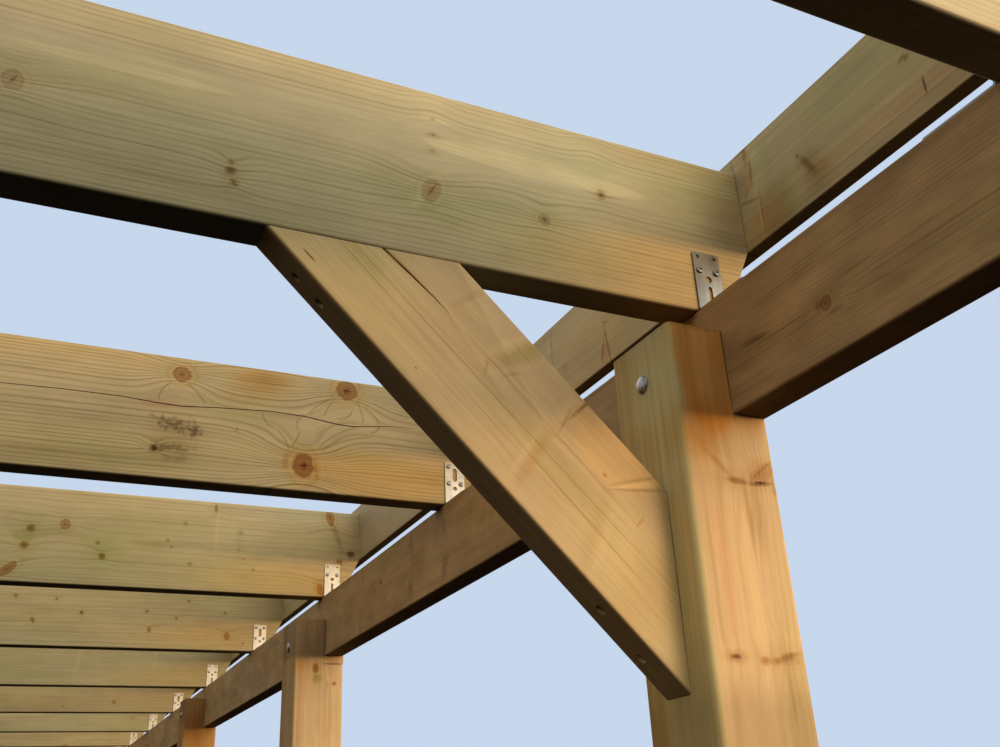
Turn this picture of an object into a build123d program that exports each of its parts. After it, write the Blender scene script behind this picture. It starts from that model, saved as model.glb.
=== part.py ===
from build123d import *
from math import cos, radians, sin, tan
import os

# An open timber carport frame. Sizes are in millimetres, +Z is up.
# +X points across the frame to its right row of posts, and +Y from front to rear.
# The origin is on the ground, at the middle of the whole frame.

# Layout
post_rows = {"left": -1, "right": 1}
post_bays = 4
rafters_per_bay = 2
rafter_spacing = 810.0
end_overhang = 480.0
rafter_length = 5400.0
headroom = 2100.0

# Posts and the plates that lie in their notches
post_side = 121.0
post_round = 7.0
plate_thickness = 46.0
plate_depth = 150.0
tongue_height = 104.0
packer_thickness = 17.0

# Rafters, and the boards across their ends
rafter_thickness = 46.0
rafter_depth = 225.0
rafter_past_plate = 48.0
fascia_thickness = 22.0
fascia_depth = 148.0
fascia_above_rafters = 24.0
fascia_round = 2.0
timber_round = 4.0

# Knee braces
brace_thickness = 46.0
brace_width = 150.0
brace_rise = 446.0
brace_angle = 45.0

# Angle brackets, one leg on a rafter's side and one on the plate
bracket_width = 39.0
bracket_leg = 84.0
bracket_thickness = 2.5
bracket_bend = 4.0

# Places that follow from these sizes
post_spacing = rafters_per_bay * rafter_spacing
post_count = post_bays + 1
brace_posts = {"front": 1, "rear": post_count}
splice_posts = sorted({2, post_count - 1})
posts_span = post_bays * post_spacing
frame_length = posts_span + 2 * end_overhang + rafter_thickness
front_y = -frame_length / 2
rear_y = frame_length / 2
post_ys = [i * post_spacing - posts_span / 2 for i in range(post_count)]
inner_rafters = post_bays * rafters_per_bay + 1
rafter_ys = [i * rafter_spacing - posts_span / 2 for i in range(inner_rafters)]
rafter_ys = [post_ys[0] - end_overhang] + rafter_ys + [post_ys[-1] + end_overhang]
middle_rafter_y = rafter_ys[len(rafter_ys) // 2]
plate_outer_x = rafter_length / 2 - rafter_past_plate
post_inner_x = plate_outer_x - post_side
plate_top = headroom + plate_depth
rafter_top = plate_top + rafter_depth
fascia_top = rafter_top + fascia_above_rafters
fascia_bottom = fascia_top - fascia_depth


def keep(piece, name):
    """Names a finished piece and writes it to its own file."""
    piece.part.label = name
    export_step(piece.part, f"parts/{name}.step")


def span(start, end):
    """The length of a stretch from start to end, and its middle."""
    return end - start, (start + end) / 2


def build_post(side, y, shoulder):
    """A square post with eased arrises. Its outer part is notched away above the shoulder."""
    post_x = side * (plate_outer_x - post_side / 2)
    notch_x = side * (plate_outer_x - plate_thickness / 2)
    with BuildPart() as post:
        with BuildSketch(Plane((post_x, y, 0))):
            Rectangle(post_side, post_side)
        extrude(amount=shoulder + tongue_height)
        fillet(post.edges().filter_by(Axis.Z), radius=post_round)
        with BuildSketch(Plane((notch_x, y, shoulder))):
            Rectangle(plate_thickness, post_side)
        extrude(amount=tongue_height, mode=Mode.SUBTRACT)
    return post


def build_packer(side, y):
    """A thin pad that fills a splice post's seat up to the plate."""
    packer_x = side * (plate_outer_x - plate_thickness / 2)
    with BuildPart() as packer:
        with BuildSketch(Plane((packer_x, y, headroom - packer_thickness))):
            Rectangle(plate_thickness, post_side)
        extrude(amount=packer_thickness)
    return packer


def build_plate(side, start, end):
    """One length of the plate, on edge in the notches of its posts."""
    length, middle = span(start, end)
    plate_x = side * (plate_outer_x - plate_thickness / 2)
    with BuildPart() as plate:
        with BuildSketch(Plane((plate_x, middle, headroom))):
            Rectangle(plate_thickness, length)
        extrude(amount=plate_depth)
        fillet(plate.edges().filter_by(Axis.Y), radius=timber_round)
    return plate


def build_rafter(y):
    """A joist on edge across both plates. The lower corner of each end is cut off at a slope."""
    half_length = rafter_length / 2
    outline = [
        (-plate_outer_x, plate_top),
        (plate_outer_x, plate_top),
        (half_length, fascia_bottom),
        (half_length, rafter_top),
        (-half_length, rafter_top),
        (-half_length, fascia_bottom),
    ]
    front_face = Plane((0, y - rafter_thickness / 2, 0), x_dir=(1, 0, 0), z_dir=(0, -1, 0))
    with BuildPart() as rafter:
        with BuildSketch(front_face):
            with BuildLine():
                Polyline(*outline, close=True)
            make_face()
        extrude(amount=-rafter_thickness)
        fillet(rafter.edges().filter_by(Axis.X), radius=timber_round)
    return rafter


def build_fascia(side, start, end):
    """A thin board across the rafters' ends. It stands a little above their tops."""
    length, middle = span(start, end)
    fascia_x = side * (rafter_length + fascia_thickness) / 2
    with BuildPart() as fascia:
        with BuildSketch(Plane((fascia_x, middle, fascia_bottom))):
            Rectangle(fascia_thickness, length)
        extrude(amount=fascia_depth)
        fillet(fascia.edges().filter_by(Axis.Y), radius=fascia_round)
    return fascia


def build_brace(side, y):
    """A brace that slopes from the post's inner face up to the rafter's underside."""
    slope = radians(brace_angle)
    brace_run = brace_rise / tan(slope)
    outline = [
        (side * post_inner_x, plate_top - brace_rise),
        (side * post_inner_x, plate_top - brace_rise + brace_width / cos(slope)),
        (side * (post_inner_x - brace_run + brace_width / sin(slope)), plate_top),
        (side * (post_inner_x - brace_run), plate_top),
    ]
    front_face = Plane((0, y - brace_thickness / 2, 0), x_dir=(1, 0, 0), z_dir=(0, -1, 0))
    grain = Axis((0, 0, 0), (side * cos(slope), 0, -sin(slope)))
    with BuildPart() as brace:
        with BuildSketch(front_face):
            with BuildLine():
                Polyline(*outline, close=True)
            make_face()
        extrude(amount=-brace_thickness)
        fillet(brace.edges().filter_by(grain), radius=timber_round)
    return brace


def build_brackets(side):
    """The row's angle brackets, each in the corner between a rafter's side and the plate's top."""
    bracket_x = side * (plate_outer_x - plate_thickness / 2)
    with BuildPart() as brackets:
        for number, rafter_y in enumerate(rafter_ys):
            # The front rafter has no plate before it, so its bracket is behind it.
            facing = 1 if number == 0 else -1
            inside = Side.LEFT if facing > 0 else Side.RIGHT
            corner_y = rafter_y + facing * rafter_thickness / 2
            outer_line = [
                (corner_y, plate_top + bracket_leg),
                (corner_y, plate_top),
                (corner_y + facing * bracket_leg, plate_top),
            ]
            side_face = Plane((bracket_x, 0, 0), x_dir=(0, 1, 0), z_dir=(1, 0, 0))
            with BuildSketch(side_face):
                with BuildLine():
                    FilletPolyline(*outer_line, radius=bracket_bend)
                    offset(amount=bracket_thickness, side=inside)
                make_face()
            extrude(amount=bracket_width / 2, both=True)
    return brackets


os.makedirs("parts", exist_ok=True)

for row, side in post_rows.items():
    for number, post_y in enumerate(post_ys, start=1):
        if number in splice_posts:
            post = build_post(side, post_y, headroom - packer_thickness)
            keep(build_packer(side, post_y), f"packer_{row}_{number}")
        else:
            post = build_post(side, post_y, headroom)
        keep(post, f"post_{row}_{number}")

    plate_ends = [front_y] + [post_ys[number - 1] for number in splice_posts] + [rear_y]
    for number, (start, end) in enumerate(zip(plate_ends, plate_ends[1:]), start=1):
        keep(build_plate(side, start, end), f"plate_{row}_{number}")

    fascia_ends = [front_y, middle_rafter_y, rear_y]
    for number, (start, end) in enumerate(zip(fascia_ends, fascia_ends[1:]), start=1):
        keep(build_fascia(side, start, end), f"fascia_{row}_{number}")

    for place, number in brace_posts.items():
        keep(build_brace(side, post_ys[number - 1]), f"brace_{row}_{place}")

    keep(build_brackets(side), f"brackets_{row}")

for number, rafter_y in enumerate(rafter_ys, start=1):
    keep(build_rafter(rafter_y), f"rafter_{number}")
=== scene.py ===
import functools
import math
import random

import bmesh
import bpy
from bpy.props import FloatProperty, FloatVectorProperty, PointerProperty
from mathutils import Matrix, Vector


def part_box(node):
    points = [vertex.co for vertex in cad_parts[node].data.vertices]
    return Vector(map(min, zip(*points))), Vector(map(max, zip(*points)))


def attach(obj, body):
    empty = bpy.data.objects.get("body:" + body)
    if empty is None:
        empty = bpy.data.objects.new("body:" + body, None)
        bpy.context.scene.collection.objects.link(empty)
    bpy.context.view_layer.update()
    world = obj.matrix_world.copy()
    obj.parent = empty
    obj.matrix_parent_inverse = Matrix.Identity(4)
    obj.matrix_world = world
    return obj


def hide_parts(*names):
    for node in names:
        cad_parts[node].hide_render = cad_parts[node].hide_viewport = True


bl_info = {
    "name": "Carport frame",
    "version": (1, 0, 0),
    "blender": (4, 5, 0),
    "location": "View3D > Sidebar > Carport",
    "description": "Dresses an open timber carport frame with timber, brackets, bolts and screws",
    "category": "Object",
}

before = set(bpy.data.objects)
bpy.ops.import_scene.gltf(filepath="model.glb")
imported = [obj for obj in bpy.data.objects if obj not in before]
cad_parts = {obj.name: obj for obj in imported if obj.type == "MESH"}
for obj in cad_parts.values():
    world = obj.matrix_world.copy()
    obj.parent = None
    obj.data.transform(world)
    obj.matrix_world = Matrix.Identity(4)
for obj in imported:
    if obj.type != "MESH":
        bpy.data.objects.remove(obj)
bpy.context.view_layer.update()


def box_middle(name):
    """The middle of a node's box."""
    low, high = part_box(name)
    return (low + high) / 2


def kind_of(name):
    """What a node is, such as a rafter."""
    return name.split("_")[0]


def side_of(name):
    """Which row a node stands in, as the sign of its X."""
    return rows[name.split("_")[1]]


def nodes_of(kind):
    """The names of the frame's nodes of one kind, in order of their number."""
    found = [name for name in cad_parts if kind_of(name) == kind]
    return sorted(found, key=lambda name: (len(name), name))


rows = {"left": -1, "right": 1}
millimetre = 0.001
# Places and sizes of the frame, in metres and degrees
plate_low, plate_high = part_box("plate_right_1")
plate_top = plate_high.z
plate_outer_x = plate_high.x
plate_inner_x = plate_low.x
post_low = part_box("post_right_1")[0]
post_inner_x = post_low.x
front_post_face = post_low.y
brace_low, brace_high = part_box("brace_right_front")
brace_width = 0.150
brace_angle = 45.0
brace_foot_top = brace_low.z + brace_width / math.cos(math.radians(brace_angle))
fascia_outer_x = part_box("fascia_right_1")[1].x


# What a user would change


def colour_of(name, description, default):
    """A colour setting."""
    return FloatVectorProperty(
        name=name, description=description, subtype="COLOR", default=default, min=0, max=1
    )


def number_of(name, description, default, unit="NONE"):
    """A number setting."""
    return FloatProperty(name=name, description=description, default=default, unit=unit)


length_of = functools.partial(number_of, unit="LENGTH")


class CarportTimber(bpy.types.PropertyGroup):
    """Colours and ring width of the sawn softwood."""

    sapwood: colour_of(
        "Sapwood", "Outer wood, tinted grey-green by its preservative", (0.385, 0.305, 0.168)
    )
    heartwood: colour_of("Heartwood", "Inner wood, warm and orange", (0.490, 0.290, 0.124))
    late_wood: colour_of("Late wood", "The dark line that ends each year", (0.200, 0.130, 0.050))
    ring_width: length_of("Ring width", "One year's growth", 0.0056)


class CarportHardware(bpy.types.PropertyGroup):
    """Colour and sizes of the brackets, bolts and screws."""

    zinc: colour_of("Zinc", "The coating of the brackets, bolts and screws", (0.40, 0.375, 0.315))
    bracket_leg: length_of("Bracket leg", "From the bend's corner to the free end", 0.084)
    bracket_width: length_of("Bracket width", "Along the rafter", 0.039)
    bracket_thickness: length_of("Bracket thickness", "The bent sheet", 0.0025)
    bracket_bend: length_of("Bracket bend", "Outer radius of the bend", 0.004)
    bolt_diameter: length_of("Bolt diameter", "The coach bolts' shank", 0.008)
    bolt_head_diameter: length_of("Bolt head", "The coach bolts' domed head", 0.0215)
    bolt_head_height: length_of("Bolt head height", "The dome's rise", 0.0050)
    bolt_depth: length_of("Bolt depth", "From the plate's top to the bolts", 0.100)
    splice_bolt_depth: length_of("Splice bolt depth", "The same where two plates meet", 0.123)
    nut_width: length_of("Nut width", "Across the flats", 0.013)
    nut_height: length_of("Nut height", "Along the bolt", 0.0065)
    washer_diameter: length_of("Washer diameter", "Under each nut", 0.030)
    washer_thickness: length_of("Washer thickness", "Under each nut", 0.0020)
    thread_past_nut: length_of("Thread past the nut", "The bolt's free end", 0.0045)
    screw_head_diameter: length_of("Screw head", "The brackets' pan-head screws", 0.0090)
    sunk_head_diameter: length_of("Sunk screw head", "The braces' and fascias' screws", 0.0090)


class CarportStage(bpy.types.PropertyGroup):
    """The floor, the background and the lamps."""

    background: colour_of("Background", "What the camera sees behind the frame", (0.57, 0.68, 0.84))
    floor: colour_of("Floor", "What the camera sees of the floor", (0.50, 0.53, 0.57))
    sky: colour_of("Sky", "Light from all round", (1.0, 1.0, 0.96))
    low_lamp: number_of("Low lamp", "A long warm lamp at the front right", 2300.0)
    front_lamp: number_of("Front lamp", "Soft light from the front right", 2.1)
    rear_lamp: number_of("Rear lamp", "Faint soft light from behind", 0.8)


# Shader nodes as Python expressions


class Value:
    """A number socket. Arithmetic on it adds Math nodes to its finish."""

    def __init__(self, finish, socket):
        self.finish = finish
        self.socket = socket

    def __add__(self, other):
        return self.finish.math("ADD", self, other)

    __radd__ = __add__

    def __sub__(self, other):
        return self.finish.math("SUBTRACT", self, other)

    def __rsub__(self, other):
        return self.finish.math("SUBTRACT", other, self)

    def __mul__(self, other):
        return self.finish.math("MULTIPLY", self, other)

    __rmul__ = __mul__

    def __truediv__(self, other):
        return self.finish.math("DIVIDE", self, other)


class Finish:
    """A material or world under construction."""

    def __init__(self, owner):
        owner.use_nodes = True
        self.owner = owner
        self.tree = owner.node_tree
        self.tree.nodes.clear()

    def add(self, kind, settings=None, inputs=None):
        """Adds a node: its settings first, then the values or links of its sockets."""
        node = self.tree.nodes.new(kind)
        for name, setting in (settings or {}).items():
            if name == "stops":
                set_stops(node.color_ramp, setting)
            else:
                setattr(node, name, setting)
        for key, given in (inputs or {}).items():
            socket = node.inputs[key]
            if isinstance(given, Value):
                given = given.socket
            if isinstance(given, bpy.types.NodeSocket):
                self.tree.links.new(given, socket)
            elif socket.type == "RGBA":
                socket.default_value = (*given, 1)
            else:
                socket.default_value = given
        return node

    def math(self, operation, *values, clamp=False):
        settings = {"operation": operation, "use_clamp": clamp}
        node = self.add("ShaderNodeMath", settings, dict(enumerate(values)))
        return Value(self, node.outputs[0])

    def vector_math(self, operation, *vectors):
        node = self.add("ShaderNodeVectorMath", {"operation": operation}, dict(enumerate(vectors)))
        return node.outputs

    def dot(self, first, second):
        return Value(self, self.vector_math("DOT_PRODUCT", first, second)["Value"])

    def length(self, vector):
        return Value(self, self.vector_math("LENGTH", vector)["Value"])

    def scale(self, colour, factor):
        inputs = {0: colour, "Scale": factor}
        return self.add("ShaderNodeVectorMath", {"operation": "SCALE"}, inputs).outputs[0]

    def vector(self, x, y, z):
        return self.add("ShaderNodeCombineXYZ", inputs={0: x, 1: y, 2: z}).outputs[0]

    def noise_outputs(self, position, detail, dimensions="3D"):
        """Smooth noise, with one patch to each unit of its position."""
        key = "W" if dimensions == "1D" else "Vector"
        inputs = {key: position, "Scale": 1.0, "Detail": detail}
        return self.add("ShaderNodeTexNoise", {"noise_dimensions": dimensions}, inputs).outputs

    def line_noise(self, position):
        """Noise along a line, as a number about zero."""
        return Value(self, self.noise_outputs(position, 1.0, "1D")["Fac"]) - 0.5

    def noise(self, vector, detail=1.0):
        """Noise in space, as a number about zero."""
        return Value(self, self.noise_outputs(vector, detail)["Fac"]) - 0.5

    def noises(self, vector, detail=1.0):
        """Three such numbers."""
        colour = self.noise_outputs(vector, detail)["Color"]
        parts = self.add("ShaderNodeSeparateColor", inputs={0: colour}).outputs
        return [Value(self, socket) - 0.5 for socket in parts]

    def chance(self, number):
        """A random number from 0 to 1 for each whole number."""
        settings = {"noise_dimensions": "1D"}
        node = self.add("ShaderNodeTexWhiteNoise", settings, {"W": number})
        return Value(self, node.outputs["Value"])

    def fade(self, value, start, end):
        """Rises smoothly from 0 at start to 1 at end, or falls if end is the lower."""
        settings = {"interpolation_type": "SMOOTHSTEP"}
        node = self.add("ShaderNodeMapRange", settings, {"Value": value, 1: start, 2: end})
        return Value(self, node.outputs[0])

    def mix(self, share, first, second, blend="MIX"):
        """Mixes two colours, which are the Mix node's sockets 6 and 7."""
        settings = {"data_type": "RGBA", "blend_type": blend}
        return self.add("ShaderNodeMix", settings, {0: share, 6: first, 7: second}).outputs[2]

    def tint(self, share, colour, tint):
        """The colour multiplied by a tint."""
        return self.mix(share, colour, tint, "MULTIPLY")

    def place(self):
        """The point of the row frame."""
        return self.add("ShaderNodeTexCoord").outputs["Object"]

    def bump(self, height):
        """A relief, its height in metres."""
        inputs = {"Strength": 1.0, "Distance": 1.0, "Height": height}
        return self.add("ShaderNodeBump", inputs=inputs).outputs[0]

    def surface(self, **inputs):
        """Ends a material in a Principled shader."""
        named = {name.replace("_", " "): given for name, given in inputs.items()}
        shader = self.add("ShaderNodeBsdfPrincipled", inputs=named)
        self.add("ShaderNodeOutputMaterial", inputs={"Surface": shader.outputs[0]})
        return self.owner


def set_stops(ramp, stops):
    """Gives a colour ramp its stops, each a position and a colour."""
    while len(ramp.elements) < len(stops):
        ramp.elements.new(1.0)
    for element, (position, colour) in zip(ramp.elements, stops):
        element.position = position
        element.color = (*colour, 1)


# How each stick was sawn

# The stretch of a stick where knots are scattered, if the photograph doesn't show their places
everywhere = (-10.0, 10.0)
# Between which values each stick draws its own: where its noise starts, how far from its middle the
# tree's heart lies through it and across it, how that changes along it, and how the wood looks
noise_starts = (0, 40)
heart_behind = (0.035, 0.09)
heart_across = (-0.07, 0.07)
lean_behind = (-0.012, 0.012)
lean_across = (-0.008, 0.008)
ring_contrasts = (0.45, 0.65)
warmths = (0.05, 0.30)
tones = (0.95, 1.05)
knot_depths = (0.6, 0.9)


class Stick:
    """One length of timber: its middle, its three directions and where the tree's heart lies."""

    # What a kind of stick or the photograph may change
    ring_share = 1.0
    drift = 1.0
    knot_share = 0.45
    knot_pull = 0.8
    plain_heart = 0.0
    heart_rings = 1.0
    crowding = 0.0
    green = 0.0
    blotch = 0.30
    wild_knots = everywhere

    def __init__(self, name, along, thin, wide, seed):
        self.name = name
        self.along = Vector(along).normalized()
        self.thin = Vector(thin)
        self.wide = Vector(wide).normalized()
        self.middle = box_middle(name)
        draw = random.Random(seed)
        self.seed = draw.uniform(*noise_starts)
        behind = draw.choice((-1, 1))
        self.heart = (behind * draw.uniform(*heart_behind), draw.uniform(*heart_across))
        self.lean = (draw.uniform(*lean_behind), draw.uniform(*lean_across))
        self.ring_contrast = draw.uniform(*ring_contrasts)
        self.warmth = draw.uniform(*warmths)
        self.tone = draw.uniform(*tones)
        self.knot_depth = draw.uniform(*knot_depths)
        self.knots = []
        self.marks = []
        self.waves = []
        self.strokes = []
        self.bands = []


# Noise is stretched along the grain: patches to the metre along it and across it, and a shift that
# keeps each noise apart from the others
slow_drift = (0.9, 5.0, 0)
quick_drift = (6.0, 26.0, 3)
fibre_lines = (16.0, 900.0, 5)
streak_lines = (2.4, 150.0, 7)
mottle_patches = (2.2, 10.0, 11)
speckle_patches = (80.0, 80.0, 13)
relief_lines = (20.0, 700.0, 17)
blotch_patches = (13.0, 34.0, 19)
grit_patches = (180.0, 200.0, 23)
# How far the drifts move the rings and how deep the relief is, in metres
slow_drift_size = 0.030
quick_drift_size = 0.004
relief_depth = 0.0002
# How much each noise lightens or darkens the wood
mottle_share = 0.35
streak_share = 0.26
fibre_share = 0.30
# The wood's sheen
wood_roughness = 0.72
fibre_roughness = 0.2
late_smoothness = 0.06
wood_specular = 0.06
# Rings: where in each year its late wood starts, is full and ends, how faint the faintest year is,
# and how strongly the rings show away from knots, by them and in wood that is clear round its heart
late_wood_start = 0.46
late_wood_full = 0.87
year_end = 0.95
uneven_rings = 38.0
ring_unevenness = 1.3
faintest_year = 0.3
ring_strength = 0.68
ring_strength_by_knots = 0.45
clear_heart_edge = 0.88
clear_heart_rings = 0.10
clear_heart_rings_by_knots = 0.8
# Heartwood is warm within this radius of the tree's heart, with a soft and uneven edge
heart_radius = 0.085
heart_edge = 0.06
heart_unevenness = 0.2
heart_warmth = 0.35
# Green patches of preservative
green_edge = (0.02, 0.22)
green_share = 0.35
# A knot bends the rings this many of its radii along the grain and across it, and pushes them out
knot_reach = (4.2, 2.7)
knot_bulge = 0.55
# One knot may be scattered in each cell of this size, off its middle by up to this share of it
knot_cell = (0.17, 0.10)
knot_scatter = 0.85
# The least and the greatest radius of such a knot
knot_sizes = (0.0030, 0.013)
far_from_knots = 100.0
wild_knots_edge = 0.01
# How a knot tints the wood, from its middle outwards in radii: dark heart, red-brown face, thin rim,
# pale halo and a faint arc. The brightest tint is doubled so that the ramp can hold it.
knot_tints = [
    (0.00, (0.17, 0.10, 0.07)),
    (0.22, (0.25, 0.16, 0.11)),
    (0.50, (0.36, 0.255, 0.185)),
    (0.84, (0.35, 0.25, 0.18)),
    (1.00, (0.23, 0.175, 0.125)),
    (1.16, (0.47, 0.43, 0.36)),
    (1.42, (0.525, 0.525, 0.49)),
    (1.75, (0.45, 0.44, 0.39)),
    (2.15, (0.49, 0.50, 0.47)),
    (3.00, (0.50, 0.50, 0.50)),
]
plain_tint = (0.50, 0.50, 0.50)
knot_tint_reach = 3.0
# How much speckle and fibres tear a knot's edge, and the fine rings of its face
knot_edge_speckle = 0.55
knot_edge_fibre = 0.1
knot_face_edge = (1.1, 0.8)
knot_ring_spacing = 24
knot_ring_share = 0.10
# A mark's edge is torn by the grain where it is softer than crisp, and a mould's by speckle and grit
crisp = 0.45
mould_speckle = 2
mould_grit = 3
# A stroke fades towards its edge, in metres, and towards its ends, in shares of half its length
stroke_edge = (0.0030, 0.0002)
stroke_ends = (1.0, 0.75)
stroke_share = 0.80
# What marks and bands tint the wood with. Some marks and bands paint shade or light, where noted.
tints = {
    "mould": (0.23, 0.18, 0.10),
    # dark brown, for dirt and dark spots, and for painted shade where noted
    "dirt": (0.22, 0.15, 0.11),
    "grey": (0.50, 0.48, 0.45),
    "brown": (0.71, 0.575, 0.41),
    "ring": (0.67, 0.64, 0.50),
    "green": (0.80, 0.92, 0.66),
    "outer": (0.90, 1.18, 1.20),
    "orange": (1.04, 0.80, 0.46),
    "pink": (1.00, 0.84, 0.78),
    "pale": (1.30, 1.30, 1.24),
    "cool": (0.915, 0.99, 1.08),
    # painted shade for faces that look down
    "under": (0.36, 0.38, 0.46),
}
# Painted shade on faces that look down: how steeply a face looks down where it starts and where it is
# full
underside = (0.3, 1.0)


def stretched(finish, stick, along, thin, wide, pattern):
    """A noise vector that is stretched along the grain."""
    grain, across, shift = pattern
    start = stick.seed + shift
    return finish.vector(along * grain + start, thin * across + start, wide * across - start)


def turned_plane(finish, face, along, wide, slant, half_along, half_wide):
    """The wide face seen from a point on it, turned by a slant and measured in two half sizes."""
    inputs = {
        "Vector": face,
        "Location": (along, wide, 0),
        "Rotation": (0, 0, slant),
        "Scale": (half_along, half_wide, 1),
    }
    return finish.add("ShaderNodeMapping", {"vector_type": "TEXTURE"}, inputs).outputs[0]


def oval(finish, face, spot):
    """Distance on the wide face from an oval's middle, 1 at its edge."""
    along, wide, half_along, half_wide, slant = spot
    plane = turned_plane(finish, face, along, wide, math.radians(slant), half_along, half_wide)
    return finish.length(plane)


def bow(finish, face, stroke):
    """Distance on the wide face from a curved stroke, and how far along it from its middle."""
    along, wide, half_chord, rise, slant = stroke
    plane = turned_plane(finish, face, along, wide, slant, half_chord, rise)
    across = finish.dot(plane, (1, 0, 0))
    above = finish.dot(plane, (0, 1, 0)) + across * across - 1
    return finish.math("ABSOLUTE", above) * abs(rise), finish.math("ABSOLUTE", across)


def nearness(finish, offset, radius):
    """How near a point is to a knot, 1 at its middle, from its offset on the wide face."""
    reach_along, reach_across = knot_reach
    scaled = finish.vector_math("MULTIPLY", offset, (1 / reach_along, 1 / reach_across, 0))[0]
    return finish.math("EXPONENT", finish.dot(scaled, scaled) / (radius * radius * -1))


def wild_knots(finish, stick, along, wide):
    """Knots scattered over the stick: the offset from the nearest, its size and where there is one."""
    cells = finish.vector(along / knot_cell[0] + stick.seed, wide / knot_cell[1] - stick.seed, 0.0)
    settings = {"voronoi_dimensions": "2D", "feature": "F1"}
    inputs = {"Vector": cells, "Scale": 1.0, "Randomness": knot_scatter}
    seeds = finish.add("ShaderNodeTexVoronoi", settings, inputs).outputs["Position"]
    chance = finish.add("ShaderNodeTexWhiteNoise", {"noise_dimensions": "2D"}, {"Vector": seeds})
    luck = Value(finish, chance.outputs["Value"])
    bare = 1 - stick.knot_share
    size = finish.math("MAXIMUM", (luck - bare) / stick.knot_share, 0.0)
    small, large = knot_sizes
    radius = size * size * (large - small) + small
    there = finish.math("GREATER_THAN", luck, bare)
    offset = finish.vector_math("SUBTRACT", cells, seeds)[0]
    real = finish.vector_math("MULTIPLY", offset, (*knot_cell, 0.0))[0]
    first, last = stick.wild_knots
    inside = finish.fade(along, first, first + wild_knots_edge)
    inside = inside * finish.fade(along, last, last - wild_knots_edge)
    return real, radius, there * inside


def knot_pattern(finish, stick, face, along, wide):
    """Distance from the nearest knot in radii, and how knots draw in, push out and bend the rings."""
    nearest, pull, bulge, bent = far_from_knots, 0.0, 0.0, 0.0
    if stick.knot_share:
        offset, radius, there = wild_knots(finish, stick, along, wide)
        nearest = finish.length(offset) / radius + (1 - there) * far_from_knots
        bent = nearness(finish, offset, radius) * there
        pull = bent * finish.dot(offset, (0, 1, 0)) * stick.knot_pull
        bulge = bent * radius * knot_bulge
    for spot in stick.knots:
        radius = math.sqrt(spot[2] * spot[3])
        offset = finish.vector_math("SUBTRACT", face, (spot[0], spot[1], 0))[0]
        near = nearness(finish, offset, radius)
        pull = pull + near * finish.dot(offset, (0, 1, 0)) * stick.knot_pull
        bulge = bulge + near * (radius * knot_bulge)
        bent = bent + near
        nearest = finish.math("MINIMUM", nearest, oval(finish, face, spot))
    for spot, height in stick.waves:
        distance = oval(finish, face, spot)
        pull = pull - finish.math("EXPONENT", distance * distance * -1) * height
    return nearest, pull, bulge, bent


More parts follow.
